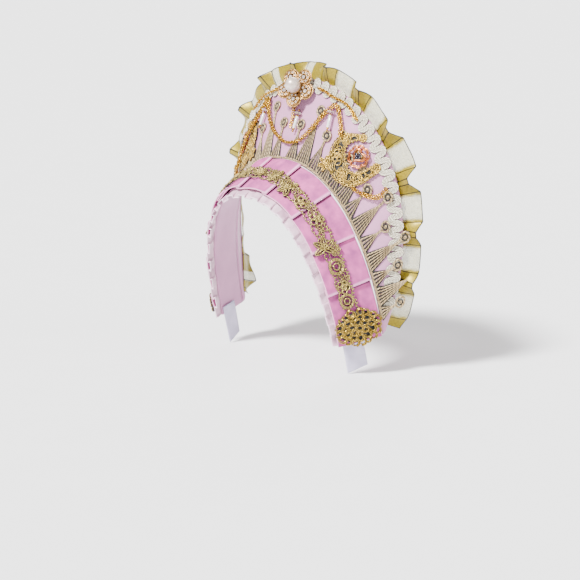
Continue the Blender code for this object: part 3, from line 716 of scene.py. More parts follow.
@dataclass(frozen=True)
class OrganzaFinish:
    """Sheer woven metal-and-silk cloth, gold where its pleats lie double and pale where it is single."""

    name: str
    gold: str
    pale: str
    edge_colour: str
    thread_mm: float
    edge_mm: float
    roughness: float
    patch_mm: float = 4.0

    def build(self) -> Material:
        """Make the material."""
        graph, bsdf = new_finish(self.name, roughness=self.roughness, sheen_weight=0.05)
        add = graph.add
        step = 1 / (self.thread_mm * MM)
        place = add("VectorMath:MULTIPLY", add("UVMap:cloth"), (step, step, 1))
        along, across = add("SeparateXYZ", place).node.outputs[:2]
        warp, weft = (add("Math:SINE", add("Math:MULTIPLY", way, TURN)) for way in (along, across))
        weave = add("Math:MULTIPLY_ADD", add("Math:MAXIMUM", warp, weft), 0.5, 0.5)
        ply = add("Attribute:ply", pick="Fac")
        body = add("TexCoord", pick="Object")
        cloud = add("TexNoise", vector=body, scale=1 / (self.patch_mm * MM), detail=3.0)
        tone = add("Math:MULTIPLY_ADD!", ply, 2.0, add("Math:MULTIPLY_ADD", cloud, 1.6, -1.25))
        speck = add("TexNoise", vector=body, scale=step, detail=2.0)
        dull = add("Math:MULTIPLY", add("Math:MULTIPLY_ADD!", speck, -3.2, 1.9), 0.42)
        edge = linear(self.edge_colour)
        colour = add("Mix:RGBA", tone, linear(self.pale), linear(self.gold))
        colour = add("Mix:RGBA", dull, colour, edge)
        apart = add("SeparateXYZ", add("Attribute:edges", pick="Vector"))
        rim = add("Math:LESS_THAN", apart, self.edge_mm * MM)
        thin = add("Math:MULTIPLY_ADD", weave, 0.3, 0.3)
        cover = add("Math:MAXIMUM", add("Math:MULTIPLY_ADD", ply, 0.6, thin), add("Math:MULTIPLY", rim, 0.95))
        graph.plug(
            bsdf,
            base_color=add("Mix:RGBA", rim, colour, edge),
            alpha=cover,
            metallic=add("Math:MULTIPLY", ply, 0.35),
            normal=add("Bump", strength=0.5, distance=0.05 * MM, height=weave),
        )
        return bpy.data.materials[self.name]


@dataclass(frozen=True)
class CordFinish:
    """A two-ply twisted cord, with painted shade in the groove between its plies and painted glints scattered over
    it.
    """

    name: str
    colour: str
    groove_shade: str
    pitch_mm: float
    roughness: float
    metallic: float
    glint: float
    spark_mm: float = 0.5
    relief_mm: float = 0.12

    def build(self) -> Material:
        """Make the material."""
        graph, bsdf = new_finish(self.name, roughness=self.roughness, metallic=self.metallic, sheen_weight=0.15)
        add = graph.add
        along = add("Attribute:along", pick="Fac")
        phase = add("Math:MULTIPLY", along, math.pi / (self.pitch_mm * MM))
        screw = add("CombineXYZ", add("Math:SINE", phase), add("Math:COSINE", phase))
        across = add("VectorMath:DOT_PRODUCT", screw, add("Attribute:around", pick="Vector"))
        # Painted shade in the groove between the plies, and painted glints from noise
        ply = add("Math:POWER", add("Math:ABSOLUTE", across), 0.8)
        body = add("TexCoord", pick="Object")
        sparks = add("TexNoise", vector=body, scale=1 / (self.spark_mm * MM), detail=2.0)
        lit = add("Math:SUBTRACT", add("Math:MULTIPLY", ply, 1.1), 0.15 + self.glint * 0.5)
        light = add("Math:MULTIPLY_ADD!", sparks, self.glint, lit)
        colour = add("Mix:RGBA", light, linear(self.groove_shade), linear(self.colour))
        relief = add("Bump", strength=0.7, distance=self.relief_mm * MM, height=ply)
        graph.plug(bsdf, base_color=colour, normal=relief)
        return bpy.data.materials[self.name]


@dataclass(frozen=True)
class HardFinish:
    """Cast metal, glass, pearl or cut stone with a slight unevenness."""

    name: str
    colour: str
    shade: str
    roughness: float
    metallic: float = 0.0
    coat: float = 0.0
    grain_mm: float = 0.8
    relief_mm: float = 0.05

    def build(self) -> Material:
        """Make the material."""
        graph, bsdf = new_finish(self.name, roughness=self.roughness, metallic=self.metallic, coat_weight=self.coat)
        add = graph.add
        body = add("TexCoord", pick="Object")
        grain = add("TexNoise", vector=body, scale=1 / (self.grain_mm * MM), detail=2.0)
        tone = add("Math:MULTIPLY_ADD!", grain, 2.0, -0.4)
        colour = add("Mix:RGBA", tone, linear(self.shade), linear(self.colour))
        relief = add("Bump", strength=0.5, distance=self.relief_mm * MM, height=grain)
        graph.plug(bsdf, base_color=colour, normal=relief)
        return bpy.data.materials[self.name]


class Finish(Enum):
    """Every finish on the hood."""

    # Silk velvet ribbon: a short upright pile, with a painted highlight along each fold's crest, a painted shadow
    # just past each fold and smooth woven selvedges
    VELVET = ClothFinish(
        "silk_velvet", "CC589C", "8A3A72", 0.45, 0.3, 0.8, 0.35, 0.1, 8.0, "DDA0C0", 0.5, "EFA6D2", 1.8, "1C0414", 1.7
    )
    # Polyester satin over board: long floats, so a soft sheen with faint streaks
    SATIN = ClothFinish("lilac_satin", "C48AAE", "B27C9E", 5.0, 0.25, 0.42, 0.15, 0.03, 18.0, anisotropy=0.3)
    # The same satin in a paler lilac, with woven white edges
    FRILL_SATIN = ClothFinish("pale_lilac_satin", "E6C4D4", "94647E", 5.0, 0.25, 0.42, 0.3, 0.03, 9.0, "E8CCDC", 0.8)
    # White double-faced satin ribbon
    WHITE_SATIN = ClothFinish("white_satin", "CFC9E0", "AAA4BE", 5.0, 0.25, 0.38, 0.2, 0.03, 12.0)
    # Metallic organza, woven open; the threads are drawn coarser than their real 0.2 mm so that they show
    ORGANZA = OrganzaFinish("gold_organza", "9C8810", "CFC9A4", "1E1906", 1.1, 0.7, 0.4)
    # In each cord finish the second colour is painted shade in the groove, and the glint scatters painted highlights
    # Rayon gimp cord: soft, pale, matt
    GIMP_CORD = CordFinish("rayon_gimp_cord", "FBF2DE", "5A4E2C", 2.6, 0.5, 0.0, 0.35)
    # Metallised thread plied round a cotton core, dulled: beige gold
    RAY_CORD = CordFinish("dull_gold_cord", "C8AC7C", "140D06", 3.4, 0.42, 0.35, 0.5)
    # Near-black cords between and beside the ray cords: painted shade in their gaps and along their edges
    RAY_SHADE = CordFinish("tarnished_gold_cord", "181006", "080502", 2.4, 0.6, 0.1, 0.4)
    # The braid's metallised thread is greener, olive gold
    BRAID_CORD = CordFinish("olive_gold_cord", "D0B45C", "1A1406", 2.6, 0.32, 0.6, 0.8)
    # Yellow gold lace thread
    PLAQUE_CORD = CordFinish("yellow_gold_cord", "E8BC48", "2A1E08", 2.4, 0.32, 0.6, 0.8)
    # Dark bronze gold scrolls of the rosette
    ROSETTE_CORD = CordFinish("bronze_gold_cord", "D2AA3C", "1A1204", 2.8, 0.24, 0.9, 0.9)
    # Near-black cords under the laces: painted shade round their cords and in their gaps
    NET = CordFinish("dark_lace_net", "221A0C", "060402", 1.0, 0.6, 0.0, 0.8)
    # Near-black cords under the gimp's strands: painted shade between them
    GIMP_CORE = CordFinish("gimp_core", "3A3018", "1E180A", 1.3, 0.7, 0.0, 0.4)
    # Dark brass sheet behind the filigree and the medallion's heart: painted shade for the gaps between the wires
    AGED_GILT = HardFinish("aged_gilt", "6E4E28", "1E1206", 0.4, 1.0, grain_mm=0.9)
    # Gilt brass chain and castings
    GILT = HardFinish("gilt_brass", "DCA83A", "4A2E0A", 0.24, 1.0, grain_mm=0.9)
    # Copper-toned plating on the medallion
    ROSE_GILT = HardFinish("rose_gilt_brass", "E08E58", "7A3A20", 0.28, 1.0, grain_mm=1.2)
    # Champagne filigree of the brooch
    CHAMPAGNE = HardFinish("champagne_gilt", "D0A062", "321C0C", 0.3, 1.0, grain_mm=0.8)
    # Glass crystals, foiled behind, pinkish
    CRYSTAL = HardFinish("foiled_crystal", "FBEDE6", "5E3A34", 0.05, 0.55, 1.0, 1.4)
    # Dark violet cut glass
    STONE = HardFinish("violet_glass", "150A20", "07030C", 0.12, 0.0, 0.3, 2.0)
    # Nacre: soft reflection under a clear coat
    PEARL = HardFinish("nacre", "E6D6CC", "B09A8C", 0.38, 0.45, 1.0, 5.0, 0.01)
    # Opaque white glass bugle beads
    BUGLE = HardFinish("white_bugle_glass", "F4F2F1", "DEDAD8", 0.1, 0.0, 0.9, 3.0, 0.01)
    # Matt pale paint of the studio floor
    FLOOR = HardFinish("pale_floor", "F4F4F4", "F2F2F2", 0.9, grain_mm=50.0, relief_mm=0.001)

    @property
    def material(self) -> Material:
        """The finish's material, made once."""
        return bpy.data.materials.get(self.value.name) or self.value.build()


# Cloth


@dataclass
class Sheet:
    """A sheet of cloth on a grid of columns along it and rows across it."""

    points: Array
    cloth: Array
    values: dict[str, Array] = field(default_factory=dict)

    def make(self, name: str, wall: float, offset: float, finish: Finish) -> Item:
        """Give the sheet its wall.

        Args:
            name: The piece's name.
            wall: Thickness of the cloth.
            offset: Side that the wall grows to: 0 for both, 1 and -1 for one.
            finish: The cloth.

        Returns:
            The finished object.
        """
        columns, rows = self.points.shape[:2]
        values = {key: column.reshape(columns * rows, *column.shape[2:]) for key, column in self.values.items()}
        points, cloth = self.points.reshape(-1, 3), self.cloth.reshape(-1, 2)
        item = mesh_object(name, points, grid_faces(columns, rows), finish.material, values, cloth)
        solid = item.modifiers.new("wall", "SOLIDIFY")
        solid.thickness = wall
        solid.offset = offset
        return baked(item)

    @property
    def flat(self) -> tuple[float, float]:
        """Mean width and whole length that the sheet was cut to."""
        widths = np.linalg.norm(np.diff(self.points, axis=1), axis=2).sum(axis=1)
        lengths = np.linalg.norm(np.diff(self.points, axis=0), axis=2).sum(axis=0)
        return float(widths.mean()), float(lengths.mean())


def on_axes(rows: Array, axes: Array) -> Array:
    """Points given along axes, in space."""
    return rows @ axes[:3, :3].T + axes[:3, 3]


@dataclass
class Headband:
    """The stiff arch under the ribbon, lined with satin."""

    end: float = 0.1868
    wall: float = 0.002
    front_margin: float = 0.0065
    rear_margin: float = 0.0004
    columns: int = 200
    rows: int = 14

    def build(self) -> None:
        """Make the arch."""
        run = np.linspace(-self.end, self.end, self.columns)[:, None]
        part = np.linspace(0, 1, self.rows)
        width = FORM.band_width(run)
        along = self.front_margin + (width - self.rear_margin - self.front_margin) * part
        cloth = stacked(run, along)
        item = Sheet(FORM.band(run, along), cloth).make("lined_headband", self.wall, -1.0, Finish.SATIN)
        hand_over(item, "satin_pink", "headband")


@dataclass
class HaloBoard:
    """The crescent: padded board covered in satin, its edges rounded."""

    end: float = 0.1868
    wall: float = 0.003
    foot_margin: float = 0.0004
    rim_margin: float = 0.0012
    columns: int = 260
    face_rows: int = 26
    edge_rows: int = 7
    pucker: float = 0.00012
    pucker_pitch: float = 0.016

    def build(self) -> None:
        """Make the crescent as one closed form."""
        run = np.linspace(-self.end, self.end, self.columns)
        half = self.wall / 2
        breadth = FORM.halo_breadth(run)
        low, high = self.foot_margin + half, breadth - self.rim_margin - half
        across = np.linspace(0, 1, self.face_rows)
        turn = np.linspace(0, math.pi, self.edge_rows + 2)[1:-1]
        face = low + (high - low)[:, None] * across
        rim = high[:, None] + half * np.sin(turn)
        foot = low - half * np.sin(turn)
        out_of = np.concatenate([face, rim, face[:, ::-1], np.tile(foot, (self.columns, 1))], axis=1)
        wrinkle = self.pucker * np.sin(TURN * run / self.pucker_pitch)[:, None] * (np.abs(across) ** 2 - 1)
        top = np.concatenate([wrinkle, np.tile(half * np.cos(turn) - half, (self.columns, 1))], axis=1)
        back = np.concatenate([np.full(self.face_rows, -self.wall), -half * np.cos(turn) - half])
        lift = np.concatenate([top, np.tile(back, (self.columns, 1))], axis=1)
        points = FORM.halo(run[:, None], out_of, lift)
        count = out_of.shape[1]
        faces = grid_faces(self.columns, count, closed=True).tolist()
        last = (self.columns - 1) * count
        faces += [tuple(range(count)), tuple(range(last + count - 1, last - 1, -1))]
        cloth = stacked(run[:, None], out_of).reshape(-1, 2)
        item = mesh_object("satin_crescent", points.reshape(-1, 3), faces, Finish.SATIN.material, cloth=cloth)
        hand_over(item, "satin_pink", "halo_board")


@dataclass
class PleatedRibbon:
    """Wide velvet ribbon in knife pleats, all laid the same way over the headband."""

    end: float = 0.1868
    pitch: float = 0.038
    first_fold: float = -0.166
    overhang: float = 0.0015
    tuck: float = 0.003
    spacing: float = 0.0013
    floor: float = 0.0009
    wall: float = 0.0009
    front_margin: float = 0.0015
    rear_margin: float = 0.0008
    puff: float = 0.0005
    askew: float = 0.0016
    askew_reach: float = 0.012
    drape: float = 0.00015
    rows: int = 22
    seed: int = 3

    def profile(self) -> tuple[Array, Array, Array, Array, Array]:
        """Run, lift, fold number, distance to the crest and past the fold before, of the ribbon's middle."""
        top = self.floor + 2 * self.spacing
        bend = self.spacing / 2
        clear = self.overhang + bend
        line: list[tuple[float, float, int, float, float]] = [(-self.end, self.floor, 0, 1.0, 1.0)]
        start, fold, number = -self.end, self.first_fold, 0
        arc = np.linspace(0, math.pi, 7)[1:-1]
        while fold < self.end - 0.25 * self.pitch:
            nose, heel = fold + self.overhang, fold - self.tuck
            level = start + 2 * self.overhang + bend
            if number:
                line.append((start + clear * 0.9, self.floor, number, 1.0, 0.0))
            for part in np.linspace(0, 1, 22):
                run = level + (nose - level) * part
                rise = self.floor + (top - self.floor) * part + self.puff * math.sin(math.pi * part) ** 2
                line.append((run, rise, number, nose - run, run - start - clear))
            line += [(nose + bend * math.sin(a), top - bend + bend * math.cos(a), number, 0.0, 1.0) for a in arc]
            line += [(nose - (nose - heel) * part, top - 2 * bend, number, 0.0, 1.0) for part in (0.0, 0.5, 1.0)]
            line += [
                (heel - bend * math.sin(a), self.floor + bend + bend * math.cos(a), number, 1.0, 0.0) for a in arc
            ]
            line.append((heel, self.floor, number, 1.0, 0.0))
            start, fold, number = fold, fold + self.pitch, number + 1
        level = start + 2 * self.overhang + bend
        line.append((start + clear * 0.9, self.floor, number, 1.0, 0.0))
        line += [
            (level, self.floor, number, 1.0, level - start - clear), (self.end, self.floor + bend, number, 1.0, 1.0)
        ]
        run, lift, folds, crest, shadow = (np.array(column, float) for column in zip(*line, strict=True))
        return run, lift, folds.astype(int), crest, shadow

    def build(self) -> None:
        """Make the ribbon."""
        run, lift, folds, crest, shadow = self.profile()
        chance = np.random.default_rng(self.seed)
        skew = chance.uniform(-self.askew, self.askew, folds.max() + 1)
        across = np.linspace(0, 1, self.rows)
        near_fold = np.exp(-((crest / self.askew_reach) ** 2))[:, None]
        runs = run[:, None] + skew[folds][:, None] * (1 - 2 * across) * near_fold
        runs = np.clip(runs, -self.end, self.end)
        width = FORM.band_width(runs)
        span = width - self.rear_margin - self.front_margin
        along = self.front_margin + span * across
        waves = np.sin(TURN * (across * 1.5 + folds[:, None] * 0.37))
        drape = self.drape * waves * ease(lift, 0.0012, 0.003)[:, None]
        points = FORM.band(runs, along, lift[:, None] + drape)
        length = way_along(stacked(run, lift))[:, None] + 0 * along
        values = {
            "edges": stacked(span * across, span * (1 - across), 0 * span),
            # Distances for the painted highlight at each crest and the painted shadow past each fold
            "crease": np.broadcast_to(crest[:, None], along.shape),
            "shadow": np.broadcast_to(shadow[:, None], along.shape),
        }
        sheet = Sheet(points, stacked(length, along), values)
        item = hand_over(sheet.make("velvet_ribbon", self.wall, 0.0, Finish.VELVET), "velvet_pink", "pleated_ribbon")
        sheet.flat


@dataclass
class UnderFrill:
    """Pale satin edge in box pleats, their returns folded back, that shows in front of the velvet."""

    count: int = 19
    half_length: float = 0.186
    fold_back: float = 0.0024
    sharpness: float = 2.6
    steps: int = 28
    uneven: float = 0.12
    seed: int = 5
    end: float = 0.1866
    cloth_per_run: float = 1.5
    root_wave: float = 0.0004
    root: float = 0.0061
    reach: float = 0.0052
    taper: float = 0.6
    depth: float = 0.0022
    top: float = -0.0007
    wall: float = 0.0005
    rows: int = 9

    def line(self) -> tuple[Array, Array, Array]:
        """Even runs, the level of each from -1 in the recess to 1 on the face, and each pleat's own size."""
        chance = np.random.default_rng(self.seed)
        turns = np.linspace(0, self.count, self.count * self.steps + 1)
        level = np.tanh(self.sharpness * np.sin(TURN * turns)) / math.tanh(self.sharpness)
        sizes = 1 + chance.uniform(-self.uneven, self.uneven, 2 * self.count + 1)
        size = sizes[np.clip((2 * turns).astype(int), 0, 2 * self.count)]
        return turns * 2 * self.half_length / self.count - self.half_length, level, size

    def folded(self, run: Array, share: Array | float) -> Array:
        """Runs with the returns folded back by a share of the whole."""
        pitch = 2 * self.half_length / self.count
        return run - self.fold_back * share * np.sin(2 * TURN * (run + self.half_length) / pitch)

    def build(self) -> None:
        """Make the frill."""
        run, level, size = self.line()
        part = np.linspace(0, 1, self.rows)
        runs = np.clip(self.folded(run[:, None], part), -self.end, self.end)
        share = FORM.rear_share(runs)
        reach = self.reach * (1 - self.taper * np.abs(share) ** 3) * (0.85 + 0.15 * size[:, None])
        along = self.root - (reach + self.root) * part
        sunk = (1 - level[:, None]) / 2
        lift = self.top - self.depth * sunk * part * size[:, None] - self.root_wave * sunk
        span = reach + self.root
        values = {"edges": stacked(span * (1 - part), span, 0 * span)}
        cloth = stacked(run[:, None] * self.cloth_per_run, along)
        sheet = Sheet(FORM.band(runs, along, lift), cloth, values)
        item = sheet.make("pale_frill", self.wall, 0.0, Finish.FRILL_SATIN)
        hand_over(item, "satin_white", "under_frill")
        sheet.flat


@dataclass
class GoldRuffle:
    """Box-pleated organza round the rim: broad pale panels behind, narrow folds in front, gold between."""

    pleats: int = 13
    fold: float = 0.1
    side: float = 0.17
    end_share: float = 0.99
    reach: float = 0.015
    fold_reach: float = 0.01
    root: float = 0.006
    root_lift: float = -0.0038
    depth: float = 0.0084
    flare: float = 0.0105
    press: float = 0.75
    press_run: float = 0.026
    calm: float = 0.9
    highest: float = 0.0125
    uneven: float = 0.16
    bend: float = 0.014
    wall: float = 0.0003
    gilt_edge: float = 0.12
    pale_strip: float = 0.22
    bend_line: float = 1.5
    askew: float = 0.0022
    bow: float = 0.0006
    sag: float = 0.0011
    root_wave: float = 0.0004
    steps: int = 60
    root_rows: int = 4
    rows: int = 12
    seed: int = 5

    def line(self) -> tuple[Array, Array, Array, Array, Array]:
        """Share of the whole, level from -1 behind to 1 in front, size, slant and part of each pleat."""
        chance = np.random.default_rng(self.seed)
        turns = np.linspace(0, self.pleats, self.pleats * self.steps + 1)
        number = np.minimum(turns.astype(int), self.pleats - 1)
        stops = np.array([-self.side, 0.0, self.fold, self.fold + self.side, 1 - self.side, 1.0, 1 + self.fold])
        levels = np.array([-1.0, 1.0, 1.0, -1.0, -1.0, 1.0, 1.0])
        part = turns - number
        spread = np.linspace(-self.bend, self.bend, 9)
        level = np.mean([np.interp(part + s, stops, levels) for s in spread], axis=0)
        size = 1 + chance.uniform(-self.uneven, self.uneven, self.pleats)[number] * (1 - level) / 2
        slant = chance.uniform(-1, 1, self.pleats)[number] * (part - 0.55) * (1 - level) / 2
        return turns / self.pleats, level, size, slant, part

    def gilding(self, part: Array, run: Array) -> Array:
        """How gold each place is: near the folds on the left side, elsewhere all but a strip of each panel."""
        front, back = self.fold + self.side, 1 - self.side
        inside = ease(part, front - 0.02, front + self.gilt_edge) * ease(back - part, -0.02, self.gilt_edge)
        near = ease(run, -0.01, 0.05)
        strip = ease(part, front - 0.03, front) * ease(front + self.pale_strip - part, 0.0, 0.04)
        return near * (1 - inside) + (1 - near) * (1 - strip)

    def build(self) -> None:
        """Make the ruffle."""
        whole, level, size, slant, place = (column[:, None] for column in self.line())
        limit = float(FORM.rim_runs[-1])
        run = (2 * whole - 1) * limit * self.end_share
        inner = np.linspace(-1, 0, self.root_rows)[:-1]
        part = np.concatenate([inner, np.linspace(0, 1, self.rows)])
        open_out = np.clip(part, 0, 1)
        room = np.interp(FORM.rim_share(run), FORM.shares, FORM.halo_breadth(FORM.rear_runs))
        reach = self.fold_reach + (self.reach * size - self.fold_reach) * (1 - level) / 2 + self.askew * slant
        bowed = self.bow * np.sin(math.pi * open_out) * (1 - level)
        out_of = np.where(part < 0, part * np.minimum(self.root, 0.5 * room), open_out * reach)
        sag = self.sag * (1 - level) / 2 * np.cos(TURN * whole * self.pleats * 1.5)
        swing = self.depth / 2 * level * open_out**0.85
        flare = self.flare * (1 - self.press * np.exp(-((run / self.press_run) ** 2)))
        flare = flare * (1 - self.calm * np.abs(2 * whole - 1) ** 3)
        lift = self.root_lift + flare * open_out + swing + bowed + sag * open_out**2
        level_root = self.root_wave * level * (1 - open_out)
        points = FORM.about_rim(run, out_of, np.minimum(lift + level_root, self.highest))
        span = reach * (1 - open_out)
        ply = np.clip(self.gilding(place, run) * (0.8 + 0.2 * open_out) + 0.05, 0, 1)
        pitch = 2 * limit * self.end_share / self.pleats
        bends = np.array([0.0, self.fold, self.fold + self.side, 1 - self.side, 1.0])
        to_bend = np.abs(place[:, :, None] - bends).min(axis=2) * pitch
        span = np.minimum(span, self.bend_line * to_bend + 0.0001)
        values = {"edges": stacked(span, span, 0.0 * span), "ply": ply}
        length = way_along(stacked(run[:, 0], self.depth / 2 * level[:, 0]))[:, None]
        sheet = Sheet(points, stacked(length, out_of), values)
        item = sheet.make("organza_ruffle", self.wall, 0.0, Finish.ORGANZA)
        hand_over(item, "organza_gold", "gold_ruffle")
        sheet.flat


@dataclass
class Ties:
    """Flat satin ties under the headband's ends, cut on a slant."""

    run: float = 0.1858
    along: float = 0.0155
    level: float = -0.0034
    width: float = 0.0175
    length: float = 0.026
    root: float = 0.006
    slant: float = 0.003
    wall: float = 0.0008
    bow: float = 0.0006
    sway: float = 0.0008
    columns: int = 30
    rows: int = 14

    def build(self) -> None:
        """Make one tie each side."""
        for name, side in BOTH_SIDES:
            axes = np.array(FORM.axes(FORM.band, side * self.run, self.along, self.level))
            part = np.linspace(0, 1, self.columns)[:, None]
            across = np.linspace(-0.5, 0.5, self.rows)
            reach = self.length - self.slant * (across + 0.5)
            down = -self.root + (reach + self.root) * part
            bow = self.bow * np.sin(math.pi * part) * np.cos(math.pi * across)
            sway = self.sway * part**2 * (across + 0.2)
            place = stacked(side * down, self.width * across, bow + sway)
            cloth = stacked(down, self.width * across)
            sheet = Sheet(on_axes(place, axes), cloth)
            item = sheet.make("satin_tie_" + name, self.wall, 0.0, Finish.WHITE_SATIN)
            hand_over(item, "satin_white", "tie_" + name)
            sheet.flat


# Cord trims


def ring_line(x: float, y: float, radius: float, count: int = 28, lobes: int = 0, depth: float = 0.0) -> Array:
    """A flat circle round a place, scalloped by lobes if asked, in rows of x and y."""
    angle = np.linspace(0, TURN, count, endpoint=False)
    reach = radius * (1 - depth + depth * np.abs(np.cos(lobes * angle / 2)) * 2)
    return stacked(x + reach * np.cos(angle), y + reach * np.sin(angle))


def coil_line(
    x: float, y: float, radius: float, turns: float, first: float, tight: float = 0.25, count: int = 44
) -> Array:
    """A flat coil that winds inwards from a radius to a share of it."""
    part = np.linspace(0, 1, count)
    reach = radius * (1 - (1 - tight) * part)
    angle = first + TURN * turns * part
    return stacked(x + reach * np.cos(angle), y + reach * np.sin(angle))


def looped_line(route: Array, radius: float, step: float, per_loop: int = 14, phase: float = 0.0) -> Array:
    """A line of small loops along a flat route.

    Args:
        route: Rows of x and y.
        radius: The loops' radius, or one for each point of the route.
        step: Distance from loop to loop.
        per_loop: Points in each loop.
        phase: Where in a loop the line starts, in turns.

    Returns:
        Rows of x and y.
    """
    runs = way_along(route)
    count = max(8, int(runs[-1] / step * per_loop))
    place = np.linspace(0, runs[-1], count)
    x, y = (np.interp(place, runs, route[:, k]) for k in (0, 1))
    reach = np.interp(place, runs, np.broadcast_to(radius, runs.shape))
    angle = TURN * (place / step + phase)
    return stacked(x + reach * np.cos(angle), y + reach * np.sin(angle))


@dataclass
class GimpBraid:
    """Scroll gimp along the rim: parallel cords that swing from edge to edge in full turns."""

    pitch: float = 0.0105
    end_share: float = 0.93
    swing: float = math.radians(88)
    strands: int = 5
    strand_step: float = 0.00088
    strand_radius: float = 0.0004
    centre: float = 0.0063
    lift: float = 0.0012
    sunk: float = 0.00035
    steps: int = 36

    def meander(self, length: float) -> tuple[Array, Array]:
        """Middle line of the gimp and the direction across it.

        Args:
            length: How far the line reaches along the rim.

        Returns:
            Rows of run and distance, and rows of the unit normal.
        """
        waves = round(length / self.pitch)
        phase = np.linspace(0, waves, waves * self.steps + 1)
        angle = self.swing * np.sin(TURN * phase)
        across = running(np.cos(angle)[:-1])
        up = running(np.sin(angle)[:-1])
        scale = length / across[-1]
        middle = stacked(across * scale - length / 2, (up - (up.max() + up.min()) / 2) * scale)
        return middle, stacked(-np.sin(angle), np.cos(angle))

    def build(self, room: Workroom) -> None:
        """Make the gimp."""
        length = 2 * float(FORM.rim_runs[-1]) * self.end_share
        middle, across = self.meander(length)
        cords, shade_lines = [], []
        for k in range(self.strands):
            aside = (k - (self.strands - 1) / 2) * self.strand_step
            flat = middle + across * aside
            lift = self.lift + 0.0002 * np.cos(np.arange(len(flat)) * TURN / self.steps * 2)
            girth = 1.35 if k in (0, self.strands - 1) else 0.95
            cords.append(Cord(FORM.about_rim(flat[:, 0], flat[:, 1] - self.centre, lift), girth=girth))
            shade_lines.append(FORM.about_rim(flat[:, 0], flat[:, 1] - self.centre, lift - self.sunk))
        item = room.cords("scroll_gimp", cords, self.strand_radius, Finish.GIMP_CORD)
        hand_over(item, "cord_cream", "gimp_braid")
        # Near-black cords a little deeper under the strands: painted shade between them
        gimp_shade = backing(cords, shade_lines, 1.35)
        hand_over(room.cords("gimp_core", gimp_shade, self.strand_radius, Finish.GIMP_CORE, 4), "cord_cream")


@dataclass(frozen=True)
class Ray:
    """One ray of the thread lace: where its foot stands, how far it reaches and whether it ends in a ring."""

    run: float
    reach: float
    ring: bool
    half_width: float = 0.0064
    cords: int = 6
    stem: float = 0.005


@dataclass
class RayLace:
    """Gold thread lace on the crescent: pointed fans of cord, long and short, with ring eyelets."""

    foot: float = 0.0026
    ring_radius: float = 0.0039
    radius: float = 0.00058
    lift: float = 0.0009
    climb: float = 0.0022
    climb_start: float = 0.019
    climb_length: float = 0.003
    climb_inset: float = 0.004
    long_rays: tuple[Ray, ...] = (
        Ray(0.0238, 0.0475, True),
        Ray(0.0482, 0.04, True),
        Ray(0.0725, 0.04, False),
        Ray(0.099, 0.0395, True),
        Ray(0.128, 0.039, True),
        Ray(0.156, 0.03, False),
    )
    short_rays: tuple[Ray, ...] = (
        *(
            Ray(run, reach, True, 0.0049, 4, 0.004)
            for run, reach in zip(
                (0.0103, 0.0365, 0.06, 0.0848, 0.1134, 0.142), (0.032, 0.032, 0.03, 0.0274, 0.0269, 0.0258)
            )
        ),
        Ray(0.169, 0.02, True, 0.0044, 4, 0.003),
    )

    def stretch(self, run: float, reach: float) -> float:
        """How much longer a run is up there than at the foot."""
        step = 0.5 * MM
        return float(np.linalg.norm(FORM.halo(run + step, reach) - FORM.halo(run, reach)) / step)

    def lay(self, side: int, flat: Array, above: float = 0.0) -> Array:
        """Points on the crescent from rows of run and reach, rising over the gimp near the rim."""
        run, reach = side * flat[:, 0], flat[:, 1]
        breadth = FORM.halo_breadth(run)
        share = FORM.rear_share(run)
        step = FORM.share_step
        along = unit(FORM.rim(np.minimum(share + step, 1)) - FORM.rim(np.maximum(share - step, -1)))
        ruling = unit(FORM.rim(share) - FORM.rear(share))
        inset = (breadth - reach) * np.linalg.norm(np.cross(along, ruling), axis=1)
        top = self.climb_start - self.climb_inset
        rise = 1 - ease(inset, top - self.climb_length, top)
        return FORM.halo(run, reach, self.lift + above + self.climb * rise)

    def fan(self, side: int, ray: Ray) -> tuple[list[Cord], list[Cord]]:
        """Cords of one ray, and the near-black ones between and beside them that paint the shade in its gaps."""
        tip = ray.reach - (self.ring_radius + ray.stem if ray.ring else 0.0)
        part = np.linspace(0, 1, 18)
        taper = 0.9 - 0.5 * part
        bright, dark = [], []
        # Every odd cord, between the bright ones and beyond the outer two, is near-black painted shade
        for k in range(-1, 2 * ray.cords):
            spread = k / (ray.cords - 1) - 1
            width = ray.half_width * spread * (1 - part) + 0.0005 * spread * part
            height = self.foot + (tip * (1 - 0.04 * spread**2) - self.foot) * part
            place = stacked(ray.run + width, height)
            if k % 2:
                dark.append(Cord(self.lay(side, place, -0.0005), girth=1.35 * taper))
            else:
                bright.append(Cord(self.lay(side, place), girth=(1.2 if abs(spread) == 1 else 1.0) * taper))
        if ray.ring:
            wide = self.stretch(ray.run, ray.reach)
            stem = np.linspace(tip - 0.003, ray.reach - self.ring_radius * 0.8, 6)
            for aside in (-0.0005, 0.0005):
                bright.append(Cord(self.lay(side, stacked(ray.run + aside, stem)), girth=0.9))
            # Each eyelet's middle ring is near-black painted shade in its hollow
            for radius, girth, cords in ((1.0, 1.6, bright), (0.55, 1.0, dark), (0.2, 1.3, bright)):
                eye = ring_line(0, 0, self.ring_radius * radius, 20)
                eye[:, 0] = ray.run + eye[:, 0] / wide
                eye[:, 1] += ray.reach
                cords.append(Cord(self.lay(side, eye, 0.0003), True, girth))
        return bright, dark

    def build(self, room: Workroom) -> None:
        """Make one piece each side of the crown."""
        for name, side in BOTH_SIDES:
            bright, dark = [], []
            for ray in self.long_rays + self.short_rays:
                for cords, more in zip((bright, dark), self.fan(side, ray), strict=True):
                    cords += more
            last = self.short_rays[-1].run + self.short_rays[-1].half_width
            route = stacked(np.linspace(0.001, last, 120), 0.0024)
            bright += [Cord(self.lay(side, looped_line(route, 0.0007, 0.0024, 10, p)), girth=0.7) for p in (0.0, 0.5)]
            item = room.cords("ray_cords_" + name, bright, self.radius, Finish.RAY_CORD)
            hand_over(item, "thread_gold", "ray_lace_" + name)
            # Painted shade in the gaps of the lace and along the rays' edges
            painted_gaps = room.cords("ray_couching_" + name, dark, self.radius, Finish.RAY_SHADE, 5)
            hand_over(painted_gaps, "thread_gold")


class Motif(Enum):
    """Shapes worked in the flower braid."""

    ROSE = "rose"
    RING = "ring"
    LEAVES = "leaves"
    SCROLLS = "scrolls"


ROSE, RING, LEAVES, SCROLLS = Motif


